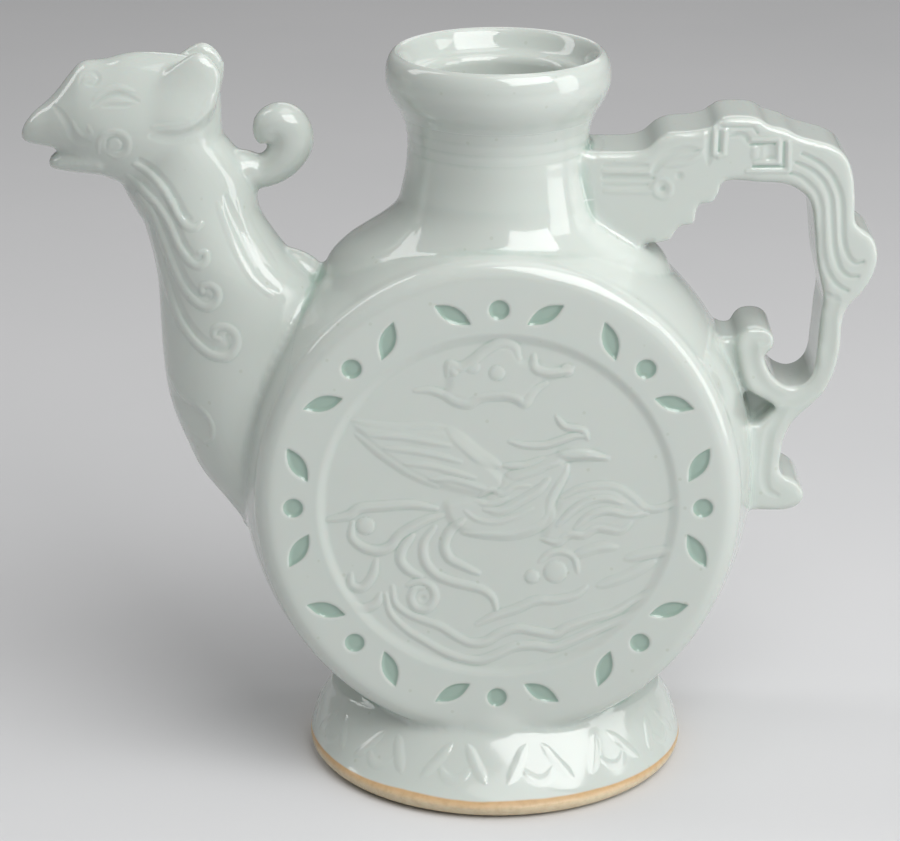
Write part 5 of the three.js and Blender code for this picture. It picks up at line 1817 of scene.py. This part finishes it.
def store(obj: bpy.types.Object, values: np.ndarray) -> None:
    """Writes the attribute pool."""
    layer = obj.data.attributes.get("pool") or obj.data.attributes.new("pool", "FLOAT", "POINT")
    layer.data.foreach_set("value", np.ascontiguousarray(values, np.float32))


# Studio


@dataclass(frozen=True)
class Lamp:
    """One softbox, aimed at the ewer."""

    name: str
    turn: float
    tilt: float
    distance: float
    wide: float
    tall: float
    power: float

    def light(self, target: Vector) -> None:
        """Hangs the softbox at its bearing from the camera's side, its tilt and its distance.

        Args:
            target: What it points at.
        """
        turn, tilt = math.radians(self.turn), math.radians(self.tilt)
        way = Vector((math.sin(turn) * math.cos(tilt), -math.cos(turn) * math.cos(tilt), math.sin(tilt)))
        bpy.ops.object.light_add(type="AREA", location=target + way * self.distance)
        lamp = bpy.context.object
        lamp.name = lamp.data.name = self.name
        lamp.data.shape = "RECTANGLE"
        lamp.data.size, lamp.data.size_y, lamp.data.energy = self.wide, self.tall, self.power
        lamp.rotation_euler = way.to_track_quat("Z", "Y").to_euler()


@dataclass(frozen=True)
class Studio:
    """The pale floor, the soft lamps and the camera at the photograph's angle."""

    target: Row = (0, 0, 0.095)
    eye: Row = (0, -0.7987, 0.38747)
    pitch: float = math.radians(70)
    lens: float = 122.612
    sensor: float = 36
    floor: float = 12
    near: float = 0.01
    paper_grey: int = 0xD2D3D4
    paper_pale: int = 0xD9D9DA
    paper_rough: float = 0.6
    sky: Row = (0.84, 0.83, 0.83, 1)
    sky_strength: float = 0.27
    lamps: tuple[Lamp, ...] = (
        Lamp("key", 36, 46, 1.15, 0.86, 0.74, 10),
        Lamp("side", 74, 14, 1.2, 0.5, 1.0, 4.6),
        Lamp("strip", -104, 42, 1.2, 0.3, 0.9, 2.4),
        Lamp("overhead", 62, 78, 1.3, 1.0, 0.6, 3),
        Lamp("back", 165, 35, 1.6, 1.2, 0.6, 2),
    )

    def build(self) -> None:
        """Sets the camera, the floor, the lamps and the world."""
        deselect()
        bpy.ops.object.camera_add(location=self.eye, rotation=(self.pitch, 0, 0))
        camera = bpy.context.object
        camera.name = "camera"
        camera.data.lens, camera.data.sensor_width = self.lens, self.sensor
        camera.data.clip_start = self.near
        bpy.context.scene.camera = camera
        deselect()
        bpy.ops.mesh.primitive_grid_add(x_subdivisions=8, y_subdivisions=8, size=self.floor)
        floor = bpy.context.object
        floor.name = "floor"
        floor.data.materials.append(self.paper())
        for lamp in self.lamps:
            lamp.light(Vector(self.target))
        world = bpy.data.worlds.new("studio")
        world.use_nodes = True
        back = world.node_tree.nodes["Background"]
        back.inputs["Color"].default_value = self.sky
        back.inputs["Strength"].default_value = self.sky_strength
        bpy.context.scene.world = world
        bpy.context.scene.view_settings.view_transform = "Standard"

    def paper(self) -> bpy.types.Material:
        """Makes the floor's pale, barely mottled paper.

        Returns:
            The material.
        """
        material = bpy.data.materials.new("paper")
        material.use_nodes = True
        join = Join(material.node_tree)
        shader = material.node_tree.nodes["Principled BSDF"]
        place = join.node("TexCoord").outputs["Object"]
        noise = join.node("TexNoise", Vector=place, Scale=7.0, Detail=3.0).outputs[0]
        mottle = join.blend(noise, tint(self.paper_grey), tint(self.paper_pale))
        join.tree.links.new(mottle, shader.inputs["Base Color"])
        shader.inputs["Roughness"].default_value = self.paper_rough
        return material


# Main


def hand_in(obj: bpy.types.Object, node: str, material: bpy.types.Material) -> None:
    """Settles a finished piece in the frame in place of its CAD node.

    Args:
        obj: The piece, still with the neck's axis at x = 0.
        node: The CAD node's name.
        material: The piece's finish.
    """
    hold(obj)
    obj.location = (NECK_AXIS, 0, 0)
    bpy.ops.object.transform_apply(location=True, rotation=True, scale=True)
    obj.name = obj.data.name = "glazed_" + node
    obj.data.materials.clear()
    obj.data.materials.append(material)
    bpy.ops.object.shade_smooth_by_angle(angle=CREASE)
    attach(obj, BODY)
    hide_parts(node)
    LOG.info("%s: %d faces", obj.name, len(obj.data.polygons))


def main() -> None:
    """Builds the studio, the ewer's pieces and their finishes."""
    logging.basicConfig(level=logging.INFO, format="%(message)s")
    Studio().build()
    tone, skin = glaze_tone_group(), glaze_skin_group()
    glaze = Celadon().material(tone, skin)
    foot_glaze = FootGlaze().material(tone, skin)
    for node, obj in Ewer().pieces().items():
        on_foot = node == "foot_ring"
        hand_in(obj, node, foot_glaze if on_foot else glaze)


if __name__ == "__main__":
    main()
